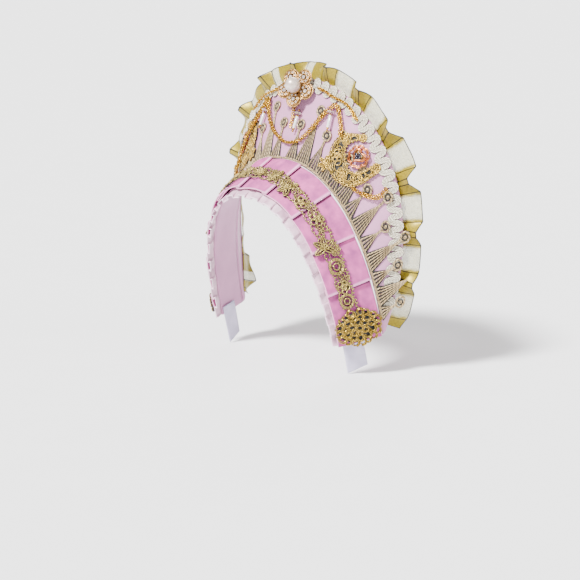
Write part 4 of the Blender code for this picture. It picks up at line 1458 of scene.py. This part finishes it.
@dataclass(frozen=True)
class BraidMotif:
    """One motif of the braid: its shape, its run, how far it lies from the middle, its size and its turn."""

    shape: Motif
    run: float
    aside: float = 0.0
    size: float = 0.0044
    turn: float = 0.0

    def lines(self) -> list[tuple[Array, bool]]:
        """Flat lines of the motif about its own centre, each with whether it is a loop."""
        r = self.size
        if self.shape is RING:
            return [(ring_line(0, 0, r * part, 30), True) for part in (1.0, 0.84, 0.42)]
        if self.shape is ROSE:
            out_of, angles = r * 0.58, np.arange(5) * TURN / 5
            petals = [ring_line(out_of * math.cos(a), out_of * math.sin(a), r * 0.42, 18) for a in angles]
            return [(line, True) for line in petals] + [(coil_line(0, 0, r * 0.5, 2.2, 0.0, 0.15), False)]
        if self.shape is LEAVES:
            made = []
            for k in range(5):
                angle = self.turn + (k - 2) * TURN / 6.2
                part = np.linspace(0, TURN, 22, endpoint=False)
                wide = r * 0.27 * np.sin(part) * (1.2 - 0.3 * np.cos(part))
                leaf = stacked(r * 0.75 + r * 0.72 * np.cos(part), wide)
                vein = stacked(np.linspace(r * 0.15, r * 1.25, 8), 0.0)
                spin = np.array([[math.cos(angle), math.sin(angle)], [-math.sin(angle), math.cos(angle)]])
                made += [(leaf @ spin, True), (vein @ spin, False)]
            return made
        first = coil_line(-r * 0.45, r * 0.1, r * 0.6, 1.7, self.turn, 0.2)
        second = coil_line(r * 0.5, -r * 0.15, r * 0.55, 1.7, self.turn + math.pi, 0.2)
        third = ring_line(0.1 * r, r * 0.75, r * 0.3, 16)
        return [(first, False), (second, False), (third, True)]


@dataclass
class FlowerBraid:
    """Olive gold lace braid along the middle of the band."""

    end: float = 0.156
    crown_along: float = 0.0195
    side_along: float = 0.0165
    ease_run: float = 0.05
    lift: float = 0.0048
    radius: float = 0.0004
    sunk: float = 0.0004
    net_girth: float = 1.35
    raised: float = 0.0006
    wave: float = 0.0003
    sway: float = 0.0007
    sway_pitch: float = 0.0125
    vine: float = 0.003
    vine_pitch: float = 0.019
    half_width: float = 0.0058
    motifs: tuple[BraidMotif, ...] = tuple(
        BraidMotif(*row)
        for row in (
            (ROSE, 0.002, 0.0, 0.0042),
            (SCROLLS, 0.011, -0.001, 0.005, 1.0),
            (LEAVES, 0.02, 0.0006, 0.005, 3.4),
            (SCROLLS, 0.029, 0.0004, 0.0052, 2.4),
            (LEAVES, 0.0385, -0.0016, 0.0058, 3.2),
            (SCROLLS, 0.048, 0.0006, 0.0054, 0.4),
            (ROSE, 0.0575, -0.0014, 0.0052),
            (SCROLLS, 0.0665, 0.001, 0.0054, 1.9),
            (ROSE, 0.0767, 0.0014, 0.0058),
            (SCROLLS, 0.0865, -0.0006, 0.0054, 3.0),
            (LEAVES, 0.101, -0.004, 0.0064, 2.9),
            (SCROLLS, 0.106, 0.003, 0.0046, 0.8),
            (RING, 0.119, -0.0008, 0.006),
            (SCROLLS, 0.13, 0.0008, 0.0054, 2.2),
            (ROSE, 0.137, -0.0008, 0.0052),
            (RING, 0.1492, -0.001, 0.0056),
        )
    )

    def middle(self, run: Array) -> Array:
        """Distance of the braid's middle from the band's front edge."""
        blend = np.minimum(1.0, np.abs(run) / self.ease_run) ** 2
        return self.crown_along + (self.side_along - self.crown_along) * blend

    def build(self, room: Workroom) -> None:
        """Make the braid."""
        cords, deeper = [], []
        for motif in self.motifs:
            for _, side in BOTH_SIDES:
                run = side * motif.run
                out_of = float(self.middle(run)) + motif.aside
                for line, closed in motif.lines():
                    flat = line * (side, 1)
                    bold = motif.shape is not SCROLLS
                    wave = self.lift + self.raised * bold + self.wave * np.sin(np.arange(len(line)) * 0.9)
                    place = (FORM.band, run, out_of, flat)
                    cords.append(Cord(FORM.chart(*place, wave), closed, 1.25 if bold else 0.9))
                    deeper.append(FORM.chart(*place, self.lift - self.sunk))
        run = np.linspace(-self.end, self.end, 700)
        for aside, radius, step, phase, girth in (
            (self.half_width, 0.001, 0.003, 0.0, 1.0),
            (-self.half_width + 0.0004, 0.0009, 0.0036, 0.2, 0.9),
        ):
            sway = self.sway * np.sin(TURN * run / self.sway_pitch + phase)
            route = stacked(run, self.middle(run) + aside + sway)
            line = looped_line(route, radius, step, 10, phase)
            cords.append(Cord(FORM.band(line[:, 0], line[:, 1], self.lift - 0.0002), girth=girth))
            deeper.append(FORM.band(line[:, 0], line[:, 1], self.lift - self.sunk))
        vine = stacked(run, self.middle(run) + self.vine * np.sin(TURN * run / self.vine_pitch))
        cords.append(Cord(FORM.band(vine[:, 0], vine[:, 1], self.lift - 0.0003)))
        deeper.append(FORM.band(vine[:, 0], vine[:, 1], self.lift - self.sunk))
        item = room.cords("lace_braid", cords, self.radius, Finish.BRAID_CORD, 5)
        hand_over(item, "thread_gold", "flower_braid")
        # Near-black copies under every cord: painted shade round the cords and in the braid's gaps
        painted_shade = room.cords("braid_net", backing(cords, deeper, self.net_girth), self.radius, Finish.NET, 4)
        hand_over(painted_shade, "thread_gold")


@dataclass
class LacePlaques:
    """C-shaped lace plaques over the rays."""

    anchor_run: float = 0.0655
    anchor_reach: float = 0.0375
    lift: float = 0.0022
    radius: float = 0.00036
    sunk: float = 0.0006
    # Thickness of the painted-shade lines under the plaque, as a share of its half width
    ground_share: float = 0.17
    wave: float = 0.0003
    path: Rows = (
        (0.0585, 0.0505, 0.0014),
        (0.0535, 0.044, 0.0026),
        (0.0505, 0.037, 0.0042),
        (0.0515, 0.0295, 0.0056),
        (0.0565, 0.0225, 0.0066),
        (0.064, 0.0185, 0.0062),
        (0.0715, 0.0205, 0.005),
        (0.0762, 0.0275, 0.0038),
        (0.0778, 0.035, 0.003),
        (0.0788, 0.0425, 0.003),
    )
    motifs: tuple[BraidMotif, ...] = tuple(
        BraidMotif(*row)
        for row in (
            (RING, 0.0585, 0.05, 0.003),
            (ROSE, 0.051, 0.0385, 0.0042),
            (ROSE, 0.0545, 0.0245, 0.005),
            (LEAVES, 0.0525, 0.013, 0.0044, 4.2),
            (ROSE, 0.0665, 0.018, 0.0048),
            (RING, 0.0755, 0.0255, 0.004),
            (RING, 0.0788, 0.0425, 0.0034),
        )
    )

    def build(self, room: Workroom) -> None:
        """Make one plaque each side."""
        stops = smooth_path(self.path, 140)
        ends = [FORM.halo(run, self.anchor_reach) for run in (self.anchor_run + MM, self.anchor_run)]
        wide = float(np.linalg.norm(ends[0] - ends[1]) / MM)
        flat = stacked((stops[:, 0] - self.anchor_run) * wide, stops[:, 1] - self.anchor_reach)
        ahead = unit(np.gradient(flat, axis=0))
        across = stacked(-ahead[:, 1], ahead[:, 0])
        half = stops[:, 2:3]
        ripple = 1 + 0.07 * np.cos(np.linspace(0, 24 * TURN, len(half)))[:, None]
        lines: list[tuple[Array, bool, float]] = []
        for share, girth in ((1.0, 1.4), (0.72, 0.8)):
            aside = across * half * share * ripple
            edge = np.vstack([flat + aside, (flat - aside)[::-1]])
            lines.append((edge, True, girth))
        lines.append((looped_line(flat, half[:, 0] * 0.5, 0.006, 18), False, 1.2))
        # Thick near-black lines under the whole plaque: painted shade in its gaps
        thick = half[:, 0] * self.ground_share
        ground = [flat + across * half * share for share in np.linspace(-0.8, 0.8, 7)]
        for share in (-1.12, 1.12):
            lines.append((looped_line(flat + across * half * share, 0.0009, 0.0032, 10), False, 0.85))
        for motif in self.motifs:
            spot = np.array([(motif.run - self.anchor_run) * wide, motif.aside - self.anchor_reach])
            lines += [(line + spot, closed, 1.3) for line, closed in motif.lines()]
        for name, side in BOTH_SIDES:
            cords, deeper = [], []
            for line, closed, girth in lines:
                lift = self.lift + self.wave * np.sin(np.arange(len(line)) * 0.7)
                place = (FORM.halo, side * self.anchor_run, self.anchor_reach, line * (side, 1))
                cords.append(Cord(FORM.chart(*place, lift), closed, girth))
                deeper.append(FORM.chart(*place, self.lift - self.sunk))
            item = room.cords("lace_plaque_" + name, cords, self.radius, Finish.PLAQUE_CORD, 5)
            hand_over(item, "thread_gold", "plaque_" + name)
            # Near-black copies under the cords, and the thick lines: painted shade
            under = backing(cords, deeper, 1.2)
            for line in ground:
                place = (FORM.halo, side * self.anchor_run, self.anchor_reach, line * (side, 1))
                points = FORM.chart(*place, self.lift - self.sunk - thick)
                under.append(Cord(points, girth=thick / self.radius))
            painted_shade = room.cords("plaque_net_" + name, under, self.radius, Finish.NET, 4)
            hand_over(painted_shade, "thread_gold")


@dataclass
class Rosettes:
    """Rosettes of coiled gold cord over the band's ends."""

    run: float = 0.173
    along: float = 0.02
    lift: float = 0.0044
    radius: float = 0.02
    squash: float = 0.74
    cord: float = 0.00044
    sunk: float = 0.0007
    # Size of the near-black disc of painted shade under the rosette
    ground: float = 0.84
    coil: float = 0.0037
    rounds: Rows = (
        (0.0, 1, 0.0036),
        (0.3, 6, 0.003),
        (0.56, 11, 0.0022),
        (0.82, 17, 0.0013),
    )
    plate: Rows = ((1.0, 0.0), (0.98, 0.0006), (0.5, 0.002), (0.1, 0.0026))
    seed: int = 11

    def build(self, room: Workroom) -> None:
        """Make one rosette each side."""
        for name, side in BOTH_SIDES:
            chance = np.random.default_rng(self.seed)
            axes = np.array(FORM.axes(FORM.band, side * self.run, self.along, self.lift))
            cords, deeper = [], []
            for share, count, height in self.rounds:
                for k in range(count):
                    angle = TURN * (k + chance.uniform(-0.2, 0.2)) / count
                    x = self.radius * share * math.cos(angle) * self.squash
                    y = self.radius * share * math.sin(angle)
                    size = self.coil * chance.uniform(0.8, 1.1)
                    line = coil_line(x, y, size, 1.9, angle + chance.uniform(-1, 1), 0.42)
                    tilt = 0.0009 * np.sin(np.linspace(0, 1.9 * TURN, len(line)) + angle)
                    flat = np.column_stack([line * (side, 1), height + tilt])
                    cords.append(Cord(on_axes(flat, axes)))
                    deeper.append(on_axes(flat - (0, 0, self.sunk), axes))
            item = room.cords("coiled_rosette_" + name, cords, self.cord, Finish.ROSETTE_CORD)
            hand_over(item, "thread_gold", "rosette_" + name)
            # Near-black copies under the coils and a near-black disc under them: painted shade in the rosette's gaps
            painted_shade = room.cords("rosette_net_" + name, backing(cords, deeper, 1.2), self.cord, Finish.NET, 4)
            ground = ring_line(0, 0, self.radius * self.ground, 36, 12, 0.04) * (self.squash, 1)
            plate = domed("ground", ground, self.plate, axes, Finish.NET)
            hand_over(joined("rosette_ground_" + name, [painted_shade, plate]), "thread_gold")


# Metal, stones and beads


def domed(name: str, outline: Array, levels: Rows, axes: Array, finish: Finish) -> Item:
    """Loft a closed solid through scaled copies of an outline.

    Args:
        name: The object's name.
        outline: Rows of x and y, either way round.
        levels: Scale and height of each copy, from the bottom up.
        axes: Four by four axes of the piece.
        finish: Its finish.

    Returns:
        The closed solid.
    """
    count = len(outline)
    rows = [np.column_stack([outline * scale, np.full(count, z)]) for scale, z in levels]
    area = np.sum(outline[:, 0] * np.roll(outline[:, 1], -1) - outline[:, 1] * np.roll(outline[:, 0], -1))
    last = (len(levels) - 1) * count
    faces = [face[::-1] for face in grid_faces(len(levels), count, closed=True).tolist()]
    faces += [list(range(count - 1, -1, -1)), list(range(last, last + count))]
    if area < 0:
        faces = [face[::-1] for face in faces]
    return mesh_object(name, on_axes(np.vstack(rows), axes), faces, finish.material)


def turned(name: str, profile: Rows, sides: int, axes: Array, finish: Finish) -> Item:
    """Turn a profile, radius and height of each ring from the bottom up, round the Z of given axes."""
    return domed(name, ring_line(0, 0, 1.0, sides), profile, axes, finish)


def shifted(axes: Array, x: float, y: float, z: float, scale: float = 1.0, turn: float = 0.0) -> Array:
    """Axes moved by their own x, y and z, scaled and turned about their Z."""
    move = np.eye(4)
    move[:2, :2] = np.array([[math.cos(turn), -math.sin(turn)], [math.sin(turn), math.cos(turn)]])
    move[:3, :3] *= scale
    move[:3, 3] = (x, y, z)
    return axes @ move


GEM = ((0.3, -0.55), (0.96, -0.05), (1.0, 0.05), (0.86, 0.32), (0.52, 0.5))


def gem(name: str, radius: float, axes: Array, finish: Finish, sides: int = 8) -> Item:
    """A cut stone seen from its table."""
    item = turned(name, [(radius * r, radius * z) for r, z in GEM], sides, axes, finish)
    item.data.polygons.foreach_set("use_smooth", [False] * len(item.data.polygons))
    return item


def bead(name: str, radius: float, axes: Array, finish: Finish, sides: int = 12, rings: int = 8) -> Item:
    """A round bead."""
    swing = np.linspace(0.08, math.pi - 0.08, rings)
    return turned(name, [(radius * math.sin(a), -radius * math.cos(a)) for a in swing], sides, axes, finish)


def heart(size: float, count: int = 48) -> Array:
    """A flat heart, its point towards minus y, in rows of x and y."""
    t = np.linspace(0, TURN, count, endpoint=False)
    x = 16 * np.sin(t) ** 3
    y = 13 * np.cos(t) - 5 * np.cos(2 * t) - 2 * np.cos(3 * t) - np.cos(4 * t)
    return stacked(x, y + 2) * size / 16


def placed(flat: Array, height: Array | float, axes: Array) -> Array:
    """Flat rows of x and y set on axes at a height."""
    return on_axes(np.column_stack([flat, np.broadcast_to(height, len(flat))]), axes)


@dataclass
class Medallions:
    """Heart medallions with scalloped wire rims and a cross of dark stones."""

    run: float = 0.0655
    reach: float = 0.0375
    lift: float = 0.0021
    radius: float = 0.0086
    wire: float = 0.00052
    heart_size: float = 0.0056
    plate: Rows = ((1.0, 0.0004), (1.0, 0.0012), (0.9, 0.0015))
    leaf: float = 0.002
    leaf_width: float = 0.62
    leaf_centre: float = 0.0019
    leaf_levels: Rows = ((0.9, 0.0), (1.0, 0.0005), (0.62, 0.0013))
    glint: float = 0.0006
    glint_centre: float = 0.0028

    def build(self, room: Workroom) -> None:
        """Make one medallion each side."""
        for name, side in BOTH_SIDES:
            axes = np.array(FORM.axes(FORM.halo, side * self.run, self.reach, self.lift))
            cords = []
            for radius, girth in ((self.radius, 1.4), (self.radius * 0.86, 0.7)):
                cords.append(Cord(placed(ring_line(0, 0, radius, 90, 9, 0.07), 0.0006, axes), True, girth))
            for radius, height in ((self.heart_size * 1.04, 0.0012), (self.heart_size * 0.92, 0.0018)):
                cords.append(Cord(placed(heart(radius), height, axes), True, 1.5))
            wires = room.cords("medallion_wires_" + name, cords, self.wire, Finish.ROSE_GILT)
            # Dark plate under the heart: painted shade between its wires
            plate = domed("plate_" + name, heart(self.heart_size), self.plate, axes, Finish.AGED_GILT)
            hand_over(joined("medallion_frame_" + name, [wires, plate]), "rose_gold", "medallion_" + name)
            stones = []
            for k in range(4):
                angle = math.pi / 2 * k
                leaf = ring_line(0, 0, 1.0, 12) * (1, self.leaf_width) * self.leaf
                x, y = self.leaf_centre * math.cos(angle), self.leaf_centre * math.sin(angle)
                spot = shifted(axes, x, y + 0.0003, 0.0016, turn=angle)
                stones.append(domed(f"cut_{name}_{k}", leaf, self.leaf_levels, spot, Finish.STONE))
            hand_over(joined("violet_stones_" + name, stones), "stone", "stone_" + name)
            glints = []
            for k in range(4):
                angle = math.pi / 2 * (k + 0.5)
                x, y = self.glint_centre * math.cos(angle), self.glint_centre * math.sin(angle)
                spot = shifted(axes, x, y + 0.0005, 0.0018)
                glints.append(gem(f"glint_{name}_{k}", self.glint, spot, Finish.CRYSTAL))
            hand_over(joined("medallion_crystals_" + name, glints), "rose_gold")


@dataclass
class PearlBrooch:
    """Five scalloped filigree petals set with crystals round a pearl."""

    run: float = 0.001
    reach: float = 0.06
    lift: float = 0.008
    tilt: float = math.radians(20)
    foot_radius: float = 0.0038
    foot: float = 0.0045
    petals: int = 5
    turn: float = math.radians(62)
    petal_centre: float = 0.0102
    petal_radius: float = 0.0062
    pearl_radius: float = 0.0063
    pearl_lift: float = 0.0076
    wire: float = 0.00042
    gem: float = 0.0011
    middle_gem: float = 0.0017
    loops: Rows = (
        (0.62, 0.0008, 0.0021, 8, 0.0018),
        (1.03, 0.0005, 0.0016, 6, 0.0008),
    )
    dish: Rows = ((1.0, 0.0), (1.0, 0.0006), (0.8, 0.001), (0.3, 0.0004))

    def build(self, room: Workroom) -> None:
        """Make the petals, their crystals and the pearl."""
        level = FORM.axes(FORM.halo, self.run, self.reach, self.lift)
        axes = np.array(level @ Matrix.Rotation(self.tilt, 4, "Y"))
        cords, plates, gems = [], [], []
        for k in range(self.petals):
            angle = self.turn + TURN * k / self.petals
            x, y = self.petal_centre * math.cos(angle), self.petal_centre * math.sin(angle)
            spot = shifted(axes, x, y, 0.0008, turn=angle)
            r = self.petal_radius
            for share, height in ((1.0, 0.001), (0.8, 0.0016), (0.45, 0.0018)):
                cords.append(Cord(placed(ring_line(0, 0, r * share, 60, 9, 0.05), height, spot), True, 1.1))
            for share, loop, step, points, height in self.loops:
                loops = looped_line(ring_line(0, 0, r * share, 40), loop, step, points)
                cords.append(Cord(placed(loops, height, spot), girth=0.8))
            # Dark dish under each petal: painted shade between its wires
            plate = ring_line(0, 0, r * 0.96, 36, 9, 0.05)
            plates.append(domed(f"petal_{k}", plate, self.dish, spot, Finish.AGED_GILT))
            for m in range(7):
                at = TURN * m / 7
                place = shifted(spot, r * 0.62 * math.cos(at), r * 0.62 * math.sin(at), 0.0017)
                gems.append(gem(f"gem_{k}_{m}", self.gem, place, Finish.CRYSTAL))
            gems.append(gem(f"gem_{k}_middle", self.middle_gem, shifted(spot, 0, 0, 0.002), Finish.CRYSTAL))
        wires = room.cords("brooch_wires", cords, self.wire, Finish.CHAMPAGNE)
        r = self.foot_radius
        stem = ((r, -self.foot), (r, -0.0002), (0.0052, 0.0), (0.0056, 0.001), (0.005, 0.0032), (0.004, 0.0034))
        seat = turned("pearl_seat", stem, 32, axes, Finish.CHAMPAGNE)
        hand_over(joined("filigree_brooch", [wires, *plates, seat]), "gold", "brooch")
        hand_over(joined("brooch_crystals", gems), "gold")
        grain = bead("grain", 0.00055, np.eye(4), Finish.CHAMPAGNE, 8, 5)
        round_seat = placed(ring_line(0, 0, self.pearl_radius * 0.93, 60), 0.0046, axes)
        off = np.tile(axes[:3, 2], (60, 1))
        grains = room.repeated("pearl_grains", grain, [Cord(round_seat, True)], off, 0.0012, Finish.CHAMPAGNE)
        hand_over(grains, "gold")
        pearl = bead("pearl", self.pearl_radius, shifted(axes, 0, 0, self.pearl_lift), Finish.PEARL, 48, 28)
        hand_over(pearl, "pearl", "brooch_pearl")


@dataclass(frozen=True)
class Strand:
    """One strand of chain: its name, its sides and the run, reach and lift of its stops."""

    name: str
    stops: Rows
    sides: tuple[tuple[str, int], ...] = tuple(BOTH_SIDES)
    twin: float = 0.0019
    packed: bool = True


LACE, GIMP, PLAQUE, BUNCH = 0.0028, 0.0034, 0.0043, 0.005


@dataclass
class Chains:
    """Fine curb chains of real links, in swags and loops."""

    pitch: float = 0.002
    link_length: float = 0.00355
    link_width: float = 0.00275
    wire: float = 0.00044
    twin_rise: float = 0.0003
    rolls: tuple[float, float, float] = (32, -64, 14)
    strands: tuple[Strand, ...] = (
        Strand(
            "chain_swag",
            (
                *((-0.0338, 0.057, GIMP), (-0.0296, 0.042, LACE), (-0.0224, 0.0298, LACE)),
                *((-0.0126, 0.021, LACE), (0.0001, 0.0154, LACE), (0.0097, 0.0162, LACE)),
                *((0.0169, 0.0208, LACE), (0.0223, 0.0303, LACE), (0.0269, 0.0425, LACE)),
                *((0.0305, 0.0515, LACE), (0.0338, 0.057, GIMP)),
            ),
            (("", 1),),
        ),
        Strand(
            "chain_short",
            ((-0.003, 0.049, LACE), (-0.001, 0.042, LACE), (0.0006, 0.035, LACE), (0.0014, 0.0284, LACE)),
            (("", 1),),
            packed=False,
        ),
        Strand(
            "chain_bunch",
            ((0.0345, 0.056, GIMP), (0.0463, 0.043, PLAQUE), (0.0607, 0.0302, BUNCH), (0.0747, 0.0171, BUNCH)),
            (("right", -1),),
            twin=0.0024,
            packed=False,
        ),
        Strand(
            "chain_bunch_inner",
            ((0.033, 0.055, GIMP), (0.0425, 0.044, PLAQUE), (0.056, 0.032, BUNCH), (0.0735, 0.0165, BUNCH)),
            (("right", -1),),
            packed=False,
        ),
        Strand(
            "chain_fall",
            (
                *((0.0359, 0.0572, GIMP), (0.0383, 0.053, LACE), (0.0418, 0.048, LACE)),
                *((0.0447, 0.044, LACE), (0.0466, 0.04, PLAQUE)),
            ),
        ),
        Strand(
            "chain_loop",
            (
                *((0.0772, 0.0185, PLAQUE), (0.083, 0.0215, LACE), (0.0894, 0.0262, LACE)),
                *((0.0937, 0.0316, LACE), (0.0948, 0.037, LACE), (0.0946, 0.0412, GIMP)),
            ),
        ),
        Strand(
            "chain_rim",
            (
                *((0.0176, 0.064, GIMP), (0.0243, 0.0628, GIMP), (0.0302, 0.0618, GIMP), (0.0358, 0.0622, GIMP)),
                *((0.0415, 0.062, GIMP), (0.0466, 0.06, GIMP), (0.0506, 0.0575, GIMP)),
            ),
        ),
    )

    def link(self) -> Item:
        """One oval link of wire, along X."""
        around, sides = 14, 6
        a = np.linspace(0, TURN, around, endpoint=False)[:, None]
        b = np.linspace(0, TURN, sides, endpoint=False)
        long, wide = self.link_length / 2 - self.wire, self.link_width / 2 - self.wire
        out_of = self.wire * np.cos(b)
        x, y, z = (long + out_of) * np.cos(a), (wide + out_of) * np.sin(a), self.wire * np.sin(b)
        points = stacked(x, y, z).reshape(-1, 3)
        faces = []
        for i in range(around):
            for j in range(sides):
                ahead, above = (i + 1) % around * sides, (j + 1) % sides
                faces.append((i * sides + j, ahead + j, ahead + above, i * sides + above))
        return mesh_object("link", points, faces)

    def build(self, room: Workroom) -> None:
        """Make every strand."""
        for strand in self.strands:
            for name, side in strand.sides:
                route = smooth_path(strand.stops, 80)
                run, reach, lift = side * route[:, 0], route[:, 1], route[:, 2]
                paths, off = [], []
                for shift, rise in ((-0.5, 0.0), (0.5, self.twin_rise)):
                    beside = run + side * strand.twin * shift
                    paths.append(Cord(FORM.halo(beside, reach, lift + rise)))
                    off.append(FORM.off(FORM.halo, beside, reach))
                node = f"{strand.name}_{name}" if name else strand.name
                item = room.repeated(
                    "links_" + node,
                    self.link(),
                    paths,
                    np.vstack(off),
                    self.pitch,
                    Finish.GILT,
                    self.rolls,
                )
                hand_over(item, "gold", *([node] if strand.packed else []))


@dataclass(frozen=True)
class Hanging:
    """Where a drop hangs: its node, run, reach and lift."""

    node: str
    run: float
    reach: float
    lift: float


@dataclass
class Drops:
    """Drops that hang plumb: a gilt bead, a cluster of crystals, a white bugle bead with gilt caps and a bead."""

    places: tuple[Hanging, ...] = (
        Hanging("drop_centre", 0.0058, 0.0328, 0.0031),
        Hanging("drop_left", 0.0348, 0.0435, 0.004),
        Hanging("drop_right", -0.0372, 0.0405, 0.0031),
    )
    bugle_radius: float = 0.0012
    bugle_low: float = -0.0058
    bugle_high: float = 0.0048
    crystal: float = 0.0014
    spread: float = 0.0017

    def build(self, room: Workroom) -> None:
        """Make the three drops."""
        for place in self.places:
            axes = FORM.axes(FORM.halo, place.run, place.reach, place.lift)
            up = axes.to_3x3().transposed() @ Vector((0, 0, 1))
            plumb = Matrix.Rotation(math.atan2(-up.x, up.y), 4, "Z") @ Matrix.Rotation(-math.pi / 2, 4, "X")
            stand = np.array(axes @ plumb)
            r = self.bugle_radius
            low, high = self.bugle_low, self.bugle_high
            profile = ((r * 0.7, low), (r, low + 0.0004), (r, high - 0.0004), (r * 0.7, high))
            tube = turned("tube", profile, 16, stand, Finish.BUGLE)
            cap_low = ((0.0003, low - 0.0014), (r * 0.95, low - 0.0004), (r * 1.05, low + 0.0002))
            cap_high = ((r * 1.05, high - 0.0002), (r * 0.95, high + 0.0004), (0.0003, high + 0.0014))
            caps = [
                turned("cap_low", cap_low, 12, stand, Finish.GILT),
                turned("cap_high", cap_high, 12, stand, Finish.GILT),
                bead("tip", 0.0009, shifted(stand, 0, 0, low - 0.0022), Finish.GILT, 10, 6),
                bead("knot", 0.0008, shifted(stand, 0, 0, 0.01), Finish.GILT, 10, 6),
            ]
            cluster = []
            for k, a in enumerate(np.arange(5) * TURN / 5):
                spot = shifted(stand, self.spread * math.cos(a), self.spread * math.sin(a), 0.0074)
                cluster.append(gem(f"cluster_{k}", self.crystal, spot, Finish.CRYSTAL))
            item = joined("bugle_" + place.node, [tube, *caps, *cluster])
            hand_over(item, "bugle_glass", place.node)


TRIMS = (GimpBraid, RayLace, FlowerBraid, LacePlaques, Rosettes, Medallions, PearlBrooch, Chains, Drops)


# Studio


@dataclass
class Studio:
    """Pale floor, soft lights and the camera."""

    azimuth: float = 51.67
    elevation: float = 10.19
    distance: float = 1.6
    right_shift: float = 0.01275
    up_shift: float = 0.03554
    target: tuple[float, float, float] = (0.0, 0.00868, -0.12956)
    lens: float = 120.2
    floor_gap: float = 0.0006
    sky: tuple[float, float] = (0.9, 0.2)
    backdrop: float = 2.7

    def view_axes(self) -> tuple[Vector, Vector, Vector]:
        """The camera's right, up and back directions."""
        a, e = math.radians(self.azimuth), math.radians(self.elevation)
        right = Vector((math.cos(a), math.sin(a), 0))
        up = Vector((-math.sin(a) * math.sin(e), math.cos(a) * math.sin(e), math.cos(e)))
        return right, up, right.cross(up)

    def build(self, low: float) -> None:
        """Make the studio, with the floor just under a height."""
        right, up, back = self.view_axes()
        camera = link(bpy.data.objects.new("camera", bpy.data.cameras.new("camera")))
        camera.data.lens = self.lens
        camera.data.sensor_width = 36
        place = Vector(self.target) + right * self.right_shift + up * self.up_shift + back * self.distance
        camera.matrix_world = Matrix.Translation(place) @ Matrix((right, up, back)).transposed().to_4x4()
        bpy.context.scene.camera = camera
        side = 60.0
        corners = np.array([[-side, -side, 0], [side, -side, 0], [side, side, 0], [-side, side, 0]])
        corners[:, 2] = low - self.floor_gap
        floor = mesh_object("floor", corners, [(0, 1, 2, 3)], Finish.FLOOR.material)
        floor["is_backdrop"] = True
        world = bpy.data.worlds.new("studio")
        bpy.context.scene.world = world
        world.use_nodes = True
        graph = Graph(world.node_tree)
        add = graph.add
        height = add("SeparateXYZ", add("TexCoord", pick="Generated"), pick=2)
        glow = add("Math:POWER", add("Math:MAXIMUM", height, 0.0), 1.5)
        sky = add("Math:MULTIPLY_ADD", glow, *self.sky)
        seen = add("LightPath", pick="Is Camera Ray")
        strength = add("Math:MULTIPLY_ADD", seen, add("Math:SUBTRACT", self.backdrop, sky), sky)
        graph.plug(world.node_tree.nodes["Background"], linear("FFFFFF"), strength)
        self.lamp("key", right * -0.75 + up * 0.95 + back * 0.85, 12, 11.5)
        self.lamp("front", right * 0.15 + up * 0.35 + back * 1.0, 8, 0.6)
        self.lamp("fill", right * 1.0 + up * 0.35 + back * 0.6, 40, 1.0)
        self.lamp("rim", right * 0.2 + up * 1.0 - back * 0.9, 30, 1.2)

    def lamp(self, name: str, place: Vector, spread: float, power: float) -> None:
        """Add a soft far lamp that looks at the hood, its spread in degrees."""
        data = bpy.data.lights.new(name, "SUN")
        data.angle = math.radians(spread)
        data.energy = power
        lamp = link(bpy.data.objects.new(name, data))
        lamp.matrix_world = Matrix.Translation(place) @ place.to_track_quat("Z", "Y").to_matrix().to_4x4()


def main() -> None:
    """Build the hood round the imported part, and the studio."""
    logging.basicConfig(level=logging.INFO, format="%(message)s")
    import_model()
    packed = [list(corner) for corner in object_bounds()]
    room = Workroom()
    Studio().build(packed[0][2])
    for cloth in (Headband(), HaloBoard(), PleatedRibbon(), UnderFrill(), GoldRuffle(), Ties()):
        cloth.build()
        LOG.info("built %s", type(cloth).__name__)
    for trim in TRIMS:
        trim().build(room)
        LOG.info("built %s", trim.__name__)


if __name__ == "__main__":
    main()
